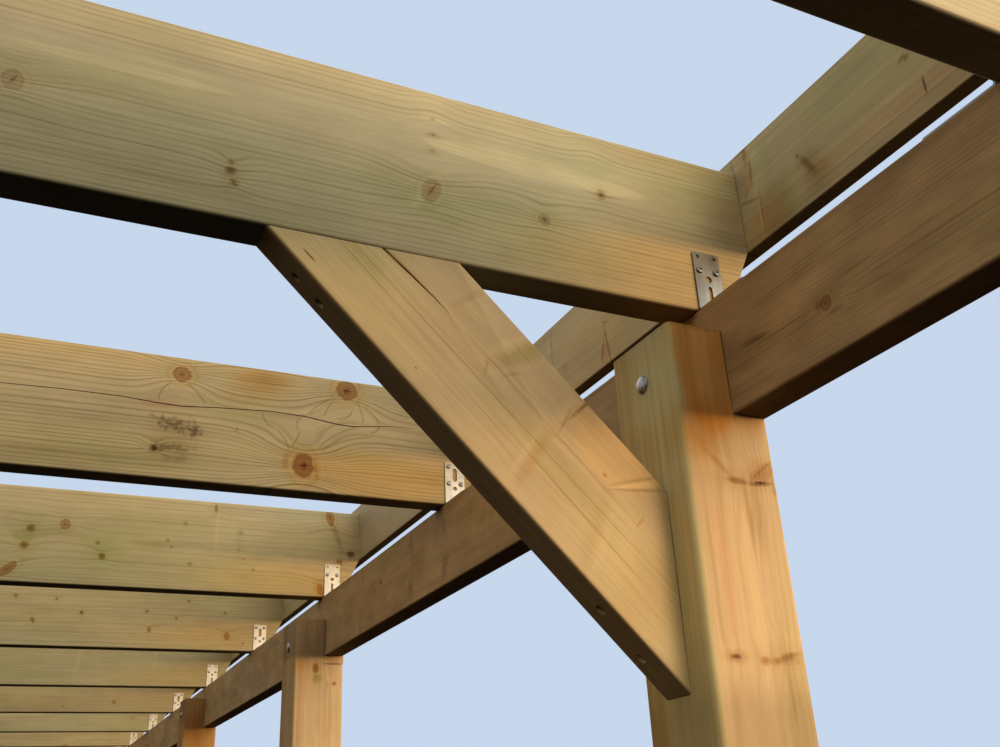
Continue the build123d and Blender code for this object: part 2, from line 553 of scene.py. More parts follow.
def timber(stick):
    """Softwood: yearly rings round the tree's heart, fibres, knots that bend the grain, and marks."""
    look = bpy.context.scene.carport_timber
    finish = Finish(bpy.data.materials.new(f"timber_{stick.name}"))
    place = finish.place()
    along, thin, wide = (
        finish.dot(place, axis) - stick.middle.dot(axis)
        for axis in (stick.along, stick.thin, stick.wide)
    )
    face = finish.vector(along, wide, 0.0)
    nearest, pull, bulge, bent = knot_pattern(finish, stick, face, along, wide)

    def grain_noise(pattern, detail=1.0, across=wide):
        return finish.noise(stretched(finish, stick, along, thin, across, pattern), detail)

    # Rings
    slow = stretched(finish, stick, along, thin, wide, slow_drift)
    slow_thin, slow_wide, _ = finish.noises(slow, 0.0)
    quick = grain_noise(quick_drift, 0.0)
    heart_thin, heart_wide = stick.heart
    sway = slow_drift_size * stick.drift
    depth = thin - along * stick.lean[0] - heart_thin + slow_thin * sway
    rise = wide - along * stick.lean[1] - heart_wide + slow_wide * sway + pull
    distance = finish.math("SQRT", depth * depth + rise * rise)
    distance = distance - bulge + quick * (quick_drift_size * stick.drift)
    uneven = finish.line_noise(distance * uneven_rings + stick.seed)
    crowded = distance * (distance * stick.crowding + 1)
    years = crowded / (look.ring_width * stick.ring_share) + uneven * ring_unevenness
    part = finish.math("FRACT", years)
    late = finish.fade(part, late_wood_start, late_wood_full) * finish.fade(part, 1.0, year_end)
    strength = finish.chance(finish.math("FLOOR", years) + stick.seed)
    late = late * (strength * (1 - faintest_year) + faintest_year)
    late = late * finish.math("ADD", bent * ring_strength_by_knots, ring_strength, clamp=True)
    if stick.plain_heart:
        clear = finish.fade(distance, stick.plain_heart * clear_heart_edge, stick.plain_heart)
        left_over = (bent * clear_heart_rings_by_knots + clear_heart_rings) * stick.heart_rings
        late = late * finish.math("ADD", clear, left_over, clamp=True)

    # Fibres, streaks and broad patches
    turned_wide = wide + pull
    fibre = grain_noise(fibre_lines, across=turned_wide)
    streak = grain_noise(streak_lines, across=turned_wide)
    patches = stretched(finish, stick, along, thin, wide, mottle_patches)
    mottle, warm_patch, green_patch = finish.noises(patches)
    speckle = grain_noise(speckle_patches)
    blotch = grain_noise(blotch_patches, 3.0)

    # Colour of the clear wood
    inner = heart_radius - distance + warm_patch * heart_unevenness
    warm = finish.fade(inner, -heart_edge, heart_edge)
    warm = finish.math("ADD", (warm - 0.5) * heart_warmth, stick.warmth, clamp=True)
    colour = finish.mix(warm, look.sapwood, look.heartwood)
    colour = finish.mix(late * stick.ring_contrast, colour, look.late_wood)
    gain = 1 + mottle * mottle_share + streak * streak_share + fibre * fibre_share
    gain = gain + blotch * stick.blotch
    colour = finish.scale(colour, gain * stick.tone)
    green = finish.fade(green_patch, *green_edge) * green_share + stick.green
    colour = finish.tint(green, colour, tints["green"])
    for axis, start, end, name, share in stick.bands:
        across = {"along": along, "thin": thin, "wide": wide}[axis]
        colour = finish.tint(finish.fade(across, start, end) * share, colour, tints[name])
    # Painted shade: faces that look down are darkened by the under tint
    downward = finish.dot(finish.add("ShaderNodeNewGeometry").outputs["Normal"], (0, 0, -1))
    colour = finish.tint(finish.fade(downward, *underside), colour, tints["under"])

    # Knots
    edge = nearest + speckle * knot_edge_speckle + fibre * knot_edge_fibre
    stops = [(position / knot_tint_reach, tint) for position, tint in knot_tints]
    ramp = finish.add("ShaderNodeValToRGB", {"stops": stops}, {0: edge / knot_tint_reach})
    knot = finish.mix(stick.knot_depth, plain_tint, ramp.outputs[0])
    inside = finish.fade(edge, *knot_face_edge)
    rings = finish.math("SINE", nearest * knot_ring_spacing) * inside * knot_ring_share
    colour = finish.scale(finish.tint(1.0, colour, knot), 2 + rings)

    # Strokes, and marks: smudges, scratches, painted shade and painted light
    for stroke in stick.strokes:
        away, run = bow(finish, face, stroke)
        mask = finish.fade(away, *stroke_edge) * finish.fade(run, *stroke_ends) * stroke_share
        colour = finish.tint(mask, colour, tints["ring"])
    if any(mark[0] == "mould" for mark in stick.marks):
        grit = grain_noise(grit_patches)
    for name, spot, share, softness in stick.marks:
        worn = oval(finish, face, spot)
        if name == "mould":
            worn = worn + speckle * mould_speckle + grit * mould_grit
        elif softness > crisp:
            worn = worn + (streak + mottle) * softness
        mask = finish.fade(worn, 1 + softness, 1 - softness) * share
        colour = finish.tint(mask, colour, tints[name])

    return finish.surface(
        Base_Color=colour,
        Roughness=wood_roughness + fibre * fibre_roughness - late * late_smoothness,
        Specular_IOR_Level=wood_specular,
        Normal=finish.bump(grain_noise(relief_lines) * relief_depth),
    )


def dress(piece, material):
    """Gives a piece or node its one material."""
    piece.data.materials.clear()
    piece.data.materials.append(material)


# What the photograph shows on each stick, in millimetres. Places are measured along and up from the
# corner that corner_of names. A knot is an oval on the wide face: its place along and across the
# stick, half its size both ways and, where it has one, its slant in degrees.
seen_knots = {
    "rafter_2": [
        (1841, 104, 9, 11, 20), (2047, 66, 3, 3), (2047, 55, 6, 5), (2051, 42, 5, 4),
        (2264, 87, 10, 15, -25), (2405, 82, 7, 8), (2486, 137, 6, 7), (2267, 186, 2, 2),
        (2267, 164, 2, 2), (2266, 142, 2, 2),
    ],
    "rafter_3": [
        (2118, 193, 14, 12.5), (2415, 204, 17, 17), (2338, 48, 17, 21), (2084, 52, 5, 5),
        (2218, 103, 2, 2),
    ],
    "rafter_4": [
        (1915, 125, 9, 9), (1987, 140, 10, 11), (1907, 85, 9, 8), (1880, 28, 20, 9, 42), (2075, 70, 7, 7),
        (2328, 207, 4, 10), (2648, 93, 8, 6), (2678, 115, 9, 7), (2620, 208, 10, 20, 15),
        (2600, 18, 8, 15, 20),
    ],
    "rafter_5": [
        (1807, 135, 5, 4), (1865, 65, 5, 5), (1903, 143, 5, 5), (1957, 74, 5, 8, 25), (2015, 139, 4, 4),
        (2089, 101, 5, 5), (2277, 113, 4, 4), (2288, 57, 5, 7), (2366, 94, 4, 4), (2400, 150, 4, 4),
        (2515, 117, 4, 4), (2525, 45, 9, 12), (2577, 25, 3, 3),
    ],
    "rafter_6": [(1900, 190, 6, 6), (2131, 190, 12, 20, -25)],
    "post_right_1": [(-218, 100, 8, 20, -35), (-415, 31, 4, 6), (-418, 67, 4, 6), (-417, 95, 4, 14)],
    "post_right_2": [(-180, 52, 10, 7), (-215, 99, 5, 5)],
    "plate_right_1": [(-164, -93, 7, 8), (1205, -64, 4, 4)],
    "fascia_right_1": [(-255, 180, 4, 4)],
    "brace_right_front": [(136, 27, 2.2, 1.2)],
}
# A mark is a tint, the place and half sizes of its oval, how strongly it shows and, where they
# aren't 0 and 0.8, its slant and how soft its edge is.
seen_marks = {
    "rafter_2": [
        ("dirt", 2265, 88, 1.2, 11, 0.45, -32, 0.4), ("pink", 2264, 86, 7, 11, 0.7, -25, 0.5),
        ("pale", 2247, 70, 5, 14, 0.5, -25), ("pale", 2276, 112, 12, 5, 0.35, 20),
        ("dirt", 1841, 105, 1, 7, 0.45, -30, 0.3), ("dirt", 2047, 56, 4, 3.4, 0.6, 0, 0.5),
        ("brown", 2051, 42, 5, 2, 0.9, -50, 0.5), ("brown", 2047, 66, 4, 3, 0.5, 0, 0.6),
        ("brown", 2047, 52, 8, 12, 0.35, -10), ("dirt", 2405, 82, 4, 3, 0.45, -40, 0.6),
        ("green", 2405, 84, 16, 20, 0.2), ("dirt", 2486, 137, 4, 3.2, 0.6, 30, 0.6),
        ("brown", 2486, 137, 9, 9, 0.35), ("green", 2000, 60, 340, 60, 0.35),
        ("green", 2212, 95, 48, 26, 0.3), ("pale", 2085, 112, 260, 14, 0.12),
        ("pale", 2405, 151, 148, 14, 0.55, -1, 0.06), ("pale", 2270, 186, 17, 6, 0.4, 0, 0.5),
        # The big pale oval at 2540, 160 is painted light on the rafter's right end.
        ("pale", 1930, 151, 118, 6, 0.45, 0, 0.08), ("pale", 2540, 160, 330, 90, 0.95),
        ("pale", 2490, 125, 110, 60, 0.35), ("pale", 2200, 185, 320, 50, 0.35),
        # At the right end: the orange at 2562, 34 is painted warm light from below the fascia, the pale
        # oval at 2540, 40 is painted light, and the dark tint at 2676, 150 and the green at 2640, 165 are
        # painted shade by the fascia.
        ("orange", 2610, 212, 110, 14, 0.35, 0, 0.7), ("orange", 2562, 34, 185, 60, 0.5, 0, 0.5),
        ("pale", 2540, 40, 140, 60, 0.35), ("dirt", 2676, 150, 46, 60, 0.38),
        ("green", 2640, 165, 70, 45, 0.5),
    ],
    "rafter_3": [
        ("orange", 2338, 48, 34, 34, 0.35, 0, 0.5), ("brown", 2338, 48, 17, 21, 0.6, 0, 0.3),
        ("brown", 2415, 204, 17, 17, 0.35, 0, 0.3), ("orange", 2415, 204, 30, 28, 0.3, 0, 0.5),
        ("orange", 2118, 192, 24, 20, 0.25, 0, 0.5), ("brown", 2305, 52, 5, 16, 0.45, -5, 0.7),
        ("brown", 2361, 45, 3, 17, 0.65, 5, 0.6), ("pale", 2371, 50, 4, 20, 0.35, 5, 0.7),
        ("brown", 2438, 208, 2, 18, 0.35, -4), ("brown", 2392, 196, 2, 14, 0.3, -20),
        ("brown", 2136, 204, 1.8, 11, 0.35, -25), ("dirt", 2338, 48, 9, 1.2, 0.8, 8, 0.3),
        ("dirt", 2340, 48, 1.2, 6, 0.6, 0, 0.3), ("dirt", 2415, 204, 9, 1.2, 0.8, 0, 0.3),
        ("dirt", 2412, 200, 1.2, 6, 0.6, 20, 0.3), ("mould", 2112, 97, 25, 8, 0.68, -8, 0.9),
        ("mould", 2147, 92, 7, 12, 0.66, 10, 0.9), ("mould", 2104, 56, 27, 5, 0.62, 5, 0.9),
        ("dirt", 2084, 52, 4, 4, 0.6, 0, 0.3), ("mould", 2118, 37, 16, 6, 0.3, 0, 0.9),
        ("brown", 2118, 72, 36, 44, 0.45, 0, 0.9), ("orange", 2258, 200, 52, 30, 0.7),
        ("brown", 2262, 202, 34, 20, 0.55, 0, 0.9), ("pink", 2225, 165, 30, 22, 0.6),
        ("pink", 2080, 132, 24, 8, 0.8, 0, 0.6), ("dirt", 1900, 11, 120, 2, 0.2),
        ("dirt", 1920, 30, 130, 3, 0.22), ("brown", 1940, 20, 160, 22, 0.3),
        ("green", 1960, 40, 200, 40, 0.5), ("green", 2230, 150, 60, 40, 0.35),
        # The orange at 2500, 40 is painted warm light from below the fascia, and the pale oval at 2500,
        # 110 is painted light on the right end.
        ("orange", 2500, 40, 170, 44, 0.62, 0, 0.5), ("pale", 2500, 110, 130, 70, 0.45),
        ("pale", 2230, 90, 70, 42, 0.45), ("orange", 1950, 216, 220, 22, 0.3),
        ("pale", 2120, 120, 60, 20, 0.3),
    ],
    "rafter_4": [
        # The big pale oval at 2520, 110 is painted light on the right end.
        ("pale", 2520, 110, 420, 130, 0.8), ("dirt", 2640, 160, 6, 34, 0.15, 22),
        ("brown", 2638, 165, 8, 38, 0.42, 22, 0.6), ("orange", 2620, 208, 9, 20, 0.8, 15, 0.5),
        ("orange", 2600, 18, 14, 20, 0.8, 20, 0.6), ("orange", 1880, 28, 20, 9, 0.7, 42, 0.5),
        # The orange at 2480, 42 is painted warm light from below the fascia.
        ("dirt", 2678, 115, 9, 7, 0.55, 0, 0.6), ("orange", 2480, 42, 180, 44, 0.36, 0, 0.6),
        ("brown", 2190, 106, 44, 9, 0.35), ("green", 1905, 105, 40, 50, 0.7, 0, 0.9),
        ("green", 2075, 85, 40, 34, 0.7, 0, 0.9), ("green", 2120, 110, 200, 60, 0.5, 0, 0.9),
        ("dirt", 1915, 125, 6, 6, 0.3), ("dirt", 1907, 85, 7, 6, 0.3), ("dirt", 2075, 70, 7, 7, 0.3),
        ("dirt", 2062, 100, 4.5, 4, 0.6), ("dirt", 2219, 119, 5, 4, 0.45, -20),
        ("dirt", 2229, 103, 3.5, 3, 0.55), ("dirt", 2257, 163, 5, 6, 0.4, -15),
        ("dirt", 2392, 150, 6, 5, 0.32), ("dirt", 2390, 107, 4, 3, 0.3), ("brown", 2402, 84, 4, 3, 0.7),
        ("brown", 2275, 65, 5, 5, 0.8), ("brown", 2428, 58, 5, 5, 0.8), ("pale", 2334, 150, 5, 60, 0.25),
        ("green", 2390, 130, 10, 40, 0.6),
    ],
    "rafter_5": [
        # The orange at 2480, 42 is painted warm light from below the fascia.
        ("orange", 2480, 42, 180, 44, 0.35, 0, 0.6), ("dirt", 2089, 101, 5, 5, 0.4, 0, 0.6),
        ("dirt", 2288, 57, 4, 6, 0.3),
    ],
    "rafter_6": [
        # The orange at 2480, 42 is painted warm light from below the fascia.
        ("orange", 2480, 42, 240, 44, 0.35, 0, 0.6), ("brown", 2112, 188, 6, 24, 0.8, -25),
        ("brown", 2000, 178, 9, 8, 0.6), ("pale", 2142, 95, 7, 70, 0.35, -8),
        ("pale", 2412, 95, 7, 60, 0.3),
    ],
    "post_right_1": [
        # The orange at -60, 46 over the tongue is partly the post's own orange and partly painted warm
        # light bounced into the plate's shade; the orange at -172, 24 is painted orange shade just under
        # the plate.
        ("orange", -60, 46, 118, 44, 0.95, 0, 0.12), ("orange", -172, 24, 34, 22, 0.78, 0, 0.6),
        # Both marks on this line are painted shade just under the plate.
        ("dirt", -172, 26, 30, 24, 0.09), ("orange", -152, 80, 16, 45, 0.6),
        ("brown", -90, 19, 70, 8, 0.45), ("brown", -90, 62, 70, 10, 0.35),
        # The brown at -180, 25 is painted shade just under the plate.
        ("brown", -180, 25, 24, 22, 0.3), ("brown", -215, 102, 14, 16, 0.62, -35, 0.7),
        ("brown", -228, 70, 10, 40, 0.3, 0, 0.9), ("pink", -218, 102, 6, 14, 0.5, -35, 0.7),
        ("dirt", -229, 98, 2.6, 15, 0.6, -6, 0.6), ("dirt", -228, 97, 1.5, 6, 0.7, 0, 0.5),
        ("brown", -213, 101, 1.6, 18, 0.7, -38, 0.6), ("brown", -236, 116, 6, 5, 0.6),
        ("brown", -229, 67, 3.2, 14, 0.9, 4, 0.7), ("dirt", -228, 66, 3, 12, 0.25, 4),
        ("brown", -415, 88, 14, 34, 0.3, 0, 0.9), ("brown", -212, 45, 3.5, 19, 0.6, 44),
        ("brown", -266, 75, 36, 3.5, 0.75), ("brown", -270, 87, 36, 6, 0.45),
        ("brown", -414, 31, 6, 15, 0.65), ("dirt", -414, 31, 2.4, 6, 0.75, 0, 0.6),
        ("brown", -417, 68, 4, 6, 0.8, 0, 0.7), ("brown", -418, 81, 4, 5, 0.7, 0, 0.7),
        ("brown", -413, 97, 3.5, 16, 0.8, -12, 0.7), ("grey", -411, 100, 2.2, 10, 0.4, -12, 0.7),
        ("pink", -330, 34, 80, 8, 0.7), ("brown", -330, 19, 90, 2.5, 0.35),
        ("pale", -300, 52, 95, 26, 0.3), ("pale", -360, 66, 90, 8, 0.3), ("brown", -462, 25, 26, 4, 0.35),
        ("brown", -450, 95, 22, 2.5, 0.45), ("brown", -470, 0, 62, 5, 0.35),
        # The dark line at -75, 75 is painted shade in the gap between the tongue and the plate.
        ("orange", -430, 0, 230, 6, 0.35), ("dirt", -75, 75, 75, 2.2, 0.8, 0, 0.5),
        ("dirt", -46, 40, 4, 36, 0.3),
    ],
    "post_right_2": [
        ("brown", -180, 52, 12, 8, 0.9, 0, 0.4), ("orange", -178, 52, 4, 3, 0.5, 0, 0.5),
        ("orange", -170, 12, 16, 14, 0.7), ("green", -205, 55, 12, 14, 0.8),
        ("brown", -204, 55, 7, 9, 0.6), ("grey", -215, 99, 3, 4, 0.7, 0, 0.6),
        ("brown", -300, 18, 120, 6, 0.35), ("brown", -300, 90, 110, 3, 0.45),
        # On these two lines, the dark line at -105, 75 is painted shade in the gap between the tongue and
        # the plate, and the one at -169, 98 is painted shade along the packer's lower edge.
        ("dirt", -400, 0, 330, 5, 0.3, 0, 0.3), ("dirt", -105, 75, 48, 2, 0.8, 0, 0.4),
        ("dirt", -169, 98, 1.8, 27, 0.75, 0, 0.4), ("brown", -110, 30, 46, 10, 0.35),
    ],
    "post_right_3": [
        # The brown at -90, 38 over the tongue is painted shade.
        ("orange", -200, 60, 90, 70, 0.9, 0, 0.6), ("brown", -90, 38, 62, 60, 0.75, 0, 0.3),
        ("brown", -172, 40, 24, 30, 0.5),
    ],
    "plate_right_1": [
        ("dirt", -55, -82, 20, 3.5, 0.5, 8), ("dirt", -175, -106, 10, 3, 0.4),
        ("dirt", -153, -91, 4, 5, 0.45), ("brown", -210, -76, 24, 2.5, 0.55),
        ("brown", -300, -80, 60, 1.6, 0.55, 0, 0.7), ("brown", -330, -93, 120, 1.6, 0.5, 0, 0.7),
        ("brown", -100, -90, 60, 1.6, 0.45, 0, 0.7), ("orange", -40, -60, 110, 70, 0.3),
        ("pale", 900, -75, 560, 100, 0.4, 0, 0.6), ("orange", 900, -75, 560, 100, 0.35, 0, 0.6),
        ("brown", 848, -40, 9, 16, 0.65, 0, 0.9), ("dirt", 851, -118, 12, 16, 0.4, 20, 0.9),
        ("brown", 1020, -28, 10, 16, 0.65, 0, 0.9), ("dirt", 1026, -118, 13, 16, 0.35, 0, 0.9),
        ("dirt", 1205, -64, 6, 4, 0.5), ("brown", 1330, -28, 5, 22, 0.55, 0, 0.9),
        ("dirt", 1345, -132, 8, 14, 0.3, 0, 0.9), ("pale", 660, -95, 4, 26, 0.5, 5),
        ("pale", 945, -120, 5, 22, 0.4),
    ],
    "fascia_right_1": [
        ("brown", 12, 237, 4, 16, 0.95, 0, 0.7), ("brown", 20, 246, 12, 3, 0.7),
        ("brown", 6, 208, 3, 20, 0.85, 4, 0.7), ("pink", 18, 205, 9, 24, 0.6, -8, 0.5),
        ("orange", 18, 205, 8, 22, 0.25, -8, 0.6), ("brown", 21, 180, 2.2, 15, 0.6, 42, 0.7),
        ("brown", 16, 167, 15, 2.4, 0.85, 16, 0.7), ("brown", -2, 146, 2.4, 22, 0.65, 2, 0.7),
        ("pale", 1, 137, 2.2, 26, 0.9, 4, 0.5), ("orange", 5, 122, 42, 28, 0.45),
        ("brown", -22, 128, 30, 28, 0.58, 0, 0.7), ("pale", 20, 130, 26, 40, 0.35),
        ("brown", -89, 156, 4, 20, 0.85, -32, 0.7), ("brown", -97, 148, 15, 26, 0.6, -28, 0.9),
        ("dirt", -93, 146, 5, 12, 0.3, -28), ("brown", -106, 128, 22, 18, 0.45, 0, 0.9),
        ("dirt", -77, 174, 3, 3.5, 0.45, 0, 0.7), ("dirt", -268, 132, 1.6, 11, 0.75, 0, 0.4),
        ("dirt", -249, 183, 6, 2.5, 0.5, -40, 0.7), ("pale", -200, 124, 160, 1.2, 0.5, 0, 0.6),
        ("brown", -200, 120, 160, 1.2, 0.45, 0, 0.6), ("green", -190, 190, 130, 50, 0.45),
        ("green", -12, 205, 16, 36, 0.5), ("green", -50, 140, 14, 30, 0.6, -10),
        # The dark line at 39, 165 is painted shade where the second rafter's end meets the fascia.
        ("pink", -190, 134, 150, 9, 0.5), ("dirt", 39, 165, 3.4, 66, 0.55, 0, 0.7),
        ("brown", 384, 132, 3, 36, 0.95, -10, 0.6), ("brown", 400, 127, 3, 19, 0.95, 16, 0.6),
        ("pink", 392, 120, 8, 26, 0.8, 0, 0.6), ("brown", 386, 173, 8, 2.4, 0.75, 20, 0.7),
        ("brown", 564, 206, 3.5, 30, 0.55), ("pale", 572, 206, 4, 28, 0.35),
        ("brown", 525, 156, 9, 4, 0.4, 30), ("pale", 480, 160, 240, 120, 0.45),
        ("orange", 480, 160, 240, 120, 0.25), ("pale", -2, 200, 16, 34, 0.6),
    ],
    "brace_right_front": [
        ("dirt", 98, 47, 1.5, 35, 0.34, 41, 0.7), ("dirt", 108, 51, 2, 30, 0.26, 31, 0.7),
        ("pale", 103, 49, 3.5, 30, 0.55, 36, 0.7), ("orange", 148, 62, 58, 44, 0.28, 0, 0.25),
        ("pale", 148, 62, 58, 44, 0.45, 0, 0.25), ("orange", 186, 62, 20, 26, 0.15),
        ("brown", 203, 62, 2, 20, 0.8, 4, 0.7), ("brown", 206, 36, 1.4, 16, 0.6, -14, 0.7),
        ("dirt", 203, 68, 1.6, 8, 0.4, 4, 0.6), ("pale", 213, 48, 6, 26, 0.35, -4),
        # The pale oval at 30, -30 is painted light on the brace's foot.
        ("pale", 30, -30, 110, 60, 0.55), ("brown", 280, 26, 2.4, 9, 0.5, 30, 0.7),
        ("brown", 304, 8, 2, 9, 0.5, -28, 0.7), ("green", 290, 54, 10, 30, 0.5, 18, 0.7),
        ("brown", 288, 54, 9, 30, 0.4, 18), ("pale", 306, 45, 7, 30, 0.4, 18),
        ("brown", 372, 50, 4, 24, 0.3, 10), ("brown", 103, -32, 10, 38, 0.22, -21),
        ("pale", 92, -32, 6, 38, 0.22, -21), ("orange", 201, -26, 7, 38, 0.3, -10),
        ("brown", 202, -26, 6, 38, 0.22, -10), ("pale", 213, -26, 4, 38, 0.35, -10),
        ("brown", 75, 20, 1.5, 7, 0.5, 0, 0.7), ("dirt", 350, -57, 1.6, 0.9, 0.7, 0, 0.4),
        ("dirt", 506, -61, 9, 1, 0.8, 0, 0.2), ("brown", 230, 17, 150, 1, 0.45, 1, 0.5),
        ("brown", 250, -9, 275, 1.1, 0.55, -0.5, 0.4), ("brown", 130, -27, 115, 1.2, 0.55, 1, 0.5),
        ("brown", 245, -32, 70, 1, 0.45, 0, 0.5), ("brown", 440, -22, 90, 1, 0.4, 0, 0.5),
        ("brown", 434, 17, 46, 2.6, 0.6, -3, 0.6), ("green", 470, -16, 34, 9, 0.6),
        # On these two lines, along the post: the green at 6, -6 is painted shade, the pale at 13, -13 is
        # painted light and the dark line at 0.6, -0.6 is painted shade in the joint; the dark line at
        # 479, 4 is painted shadow where the brace meets the rafter.
        ("green", 6, -6, 106, 8, 0.35, 45), ("pale", 13, -13, 100, 15, 0.45, 45),
        ("dirt", 0.6, -0.6, 106, 0.9, 0.55, 45, 0.2), ("dirt", 479, 4, 100, 1.8, 0.8, -45, 0.3),
        ("brown", 22, -40, 34, 46, 0.3),
    ],
}
# A wave is an oval in which the rings dip, and how far.
seen_waves = {
    "rafter_2": [(2267, 205, 26, 40, 8), (2477, 205, 28, 40, 8)],
    "brace_right_front": [(212, 30, 16, 70, -4), (292, 20, 14, 40, 3)],
}
# A stroke is one ring's line between knots: where it starts and ends, and how far it bows out to the
# left of that way.
seen_strokes = {
    "rafter_3": [
        (2104, 178, 2082, 138, -6), (2127, 176, 2163, 140, 3), (2386, 184, 2343, 147, -3),
        (2388, 178, 2372, 146, -1), (2428, 170, 2395, 146, 9), (2437, 182, 2449, 141, 1.5),
        (2446, 178, 2481, 143, 4), (2481, 141, 2462, 124, 3), (2440, 134, 2362, 82, -7),
        (2470, 117, 2364, 73, -9), (2312, 72, 2286, 112, -4), (2286, 112, 2261, 141, 7),
        (2314, 78, 2330, 112, -1.5), (2330, 112, 2333, 143, 8),
    ],
}
# A band tints everything past a plane: the plane's axis, where the tint starts and where it is full,
# the tint and how strongly it shows.
seen_bands = {
    "rafter_2": [("along", 2580, 2440, "cool", 0.9)],
    "post_right_1": [
        ("wide", 12, 2, "outer", 0.95), ("thin", 83, 89, "brown", 0.55),
        ("along", -420, -470, "grey", 0.48),
    ],
    # On the second post, the grey past -146 is painted shade on the tongue.
    "post_right_2": [("thin", 60, 90, "brown", 0.4), ("along", -160, -146, "grey", 0.68)],
    "plate_right_1": [("wide", -16, -2, "dirt", 0.22)],
    # The brace's brown past -72.5 is painted shade on its underside.
    "brace_right_front": [("along", 100, 330, "cool", 0.8), ("wide", -72.5, -74.5, "brown", 0.85)],
}
# How a stick was sawn, where the photograph shows it: where the tree's heart lies behind the wide
# face and across it, how warm and how light the wood is, and how deeply its knots are coloured.
seen_sawing = {
    "rafter_1": {"warmth": 0.12, "tone": 1.32, "green": 0},
    "rafter_2": {
        "heart": (-0.003, 0.038), "lean": (0, 0), "drift": 0.3, "ring_share": 1.56, "crowding": 2,
        "ring_contrast": 0.72, "plain_heart": 0.029, "warmth": 0.04, "green": 0, "tone": 1,
        "knot_depth": 0.52,
    },
    "rafter_3": {
        "heart": (-0.003, 0.023), "lean": (0, 0), "drift": 0.4, "ring_share": 1.3, "ring_contrast": 0.86,
        "plain_heart": 0.0225, "heart_rings": 0.06, "warmth": 0.2, "green": 0.12, "tone": 0.97,
        "knot_depth": 0.9, "knot_pull": 1.5,
    },
    "rafter_4": {
        "heart": (-0.003, -0.004), "lean": (0, 0), "drift": 0.6, "ring_share": 2, "ring_contrast": 0.5,
        "warmth": 0.12, "green": 0.08, "tone": 0.92, "knot_depth": 0.85,
    },
    "rafter_5": {
        "heart": (0, -0.002), "ring_share": 1.8, "ring_contrast": 0.36, "warmth": 0.2, "tone": 0.93,
        "knot_depth": 0.9,
    },
    "rafter_6": {"warmth": 0.28, "tone": 0.87, "ring_contrast": 0.3},
    "rafter_7": {"warmth": 0.32, "tone": 0.84, "ring_contrast": 0.3},
    "post_right_1": {
        "heart": (0.09, -0.05), "warmth": 0.9, "tone": 1.17, "ring_contrast": 0.14, "drift": 0.4,
        "knot_depth": 0.3,
    },
    "post_right_2": {
        "heart": (0.09, -0.04), "warmth": 0.8, "tone": 1.16, "ring_contrast": 0.28, "drift": 0.4,
    },
    "post_right_3": {"warmth": 1, "tone": 0.7, "ring_contrast": 0.2},
    "plate_right_1": {
        "heart": (0.1, -0.2), "warmth": 0.95, "tone": 0.8, "ring_contrast": 0.5, "ring_share": 0.7,
        "drift": 0.6, "knot_depth": 0.78,
    },
    "plate_right_2": {"warmth": 0.85, "tone": 0.87, "ring_contrast": 0.3},
    "plate_right_3": {"warmth": 0.75, "tone": 0.82, "ring_contrast": 0.3},
    "fascia_right_1": {"warmth": 0.08, "tone": 0.92, "ring_contrast": 0.2},
    "brace_right_front": {
        "heart": (0.03, -0.23), "warmth": 0.62, "tone": 1.2, "ring_contrast": 0.18, "drift": 0.25,
        "lean": (0, 0), "ring_share": 0.6,
    },
}
# Where the part of a rafter and of a post that the photograph shows starts, in metres along it from
# its middle
shown_from = {"rafter": 1.80, "post": 0.70}


def corner_of(name):
    """The corner of the row frame that a stick's knots and marks are measured from."""
    kind = kind_of(name)
    if kind == "rafter":
        return Vector((0.0, 0.0, plate_top))
    if kind == "post":
        return Vector((post_inner_x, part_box(name)[0].y, plate_top))
    if kind == "brace":
        return Vector((post_inner_x, 0.0, (brace_low.z + brace_foot_top) / 2))
    return Vector((0.0, front_post_face, plate_top))


def own_place(stick, axis, distance):
    """A distance in millimetres from the stick's corner, as one in metres from its middle."""
    return distance * millimetre + (corner_of(stick.name) - stick.middle).dot(getattr(stick, axis))


def own_spot(stick, along, wide, half_along, half_wide, slant=0):
    """An oval's place, half sizes and slant, in metres from the stick's middle."""
    place = (own_place(stick, "along", along), own_place(stick, "wide", wide))
    return (*place, half_along * millimetre, half_wide * millimetre, slant)


def own_mark(stick, tint, along, wide, half_along, half_wide, share, slant=0, softness=0.8):
    """A mark's tint, its oval from the stick's middle, how strongly it shows and how soft it is."""
    return tint, own_spot(stick, along, wide, half_along, half_wide, slant), share, softness


def own_wave(stick, along, wide, half_along, half_wide, height):
    """A wave's oval from the stick's middle, and how far the rings dip in it, in metres."""
    return own_spot(stick, along, wide, half_along, half_wide), height * millimetre


def own_stroke(stick, start_along, start_wide, end_along, end_wide, rise):
    """A stroke as its middle, half its chord, how far it bows and the chord's turn, in metres."""
    run, climb = end_along - start_along, end_wide - start_wide
    middle = ((start_along + end_along) / 2, (start_wide + end_wide) / 2)
    *bowed, _ = own_spot(stick, *middle, math.hypot(run, climb) / 2, rise)
    return (*bowed, math.atan2(climb, run))


def own_band(stick, axis, start, end, tint, share):
    """A band's axis, its two planes in metres from the stick's middle, its tint and its share."""
    return axis, own_place(stick, axis, start), own_place(stick, axis, end), tint, share


def read_photograph(stick):
    """Adds what the photograph shows of a stick."""
    name = stick.name

    def seen(table, own):
        return [own(stick, *entry) for entry in table.get(name, [])]

    for setting, value in seen_sawing.get(name, {}).items():
        setattr(stick, setting, value)
    stick.knots = seen(seen_knots, own_spot)
    stick.marks = seen(seen_marks, own_mark)
    stick.waves = seen(seen_waves, own_wave)
    stick.strokes = seen(seen_strokes, own_stroke)
    stick.bands += seen(seen_bands, own_band)
    if name in seen_knots and kind_of(name) in shown_from:
        stick.wild_knots = (everywhere[0], shown_from[kind_of(name)])
    elif name in seen_knots:
        stick.knot_share = 0
    return stick


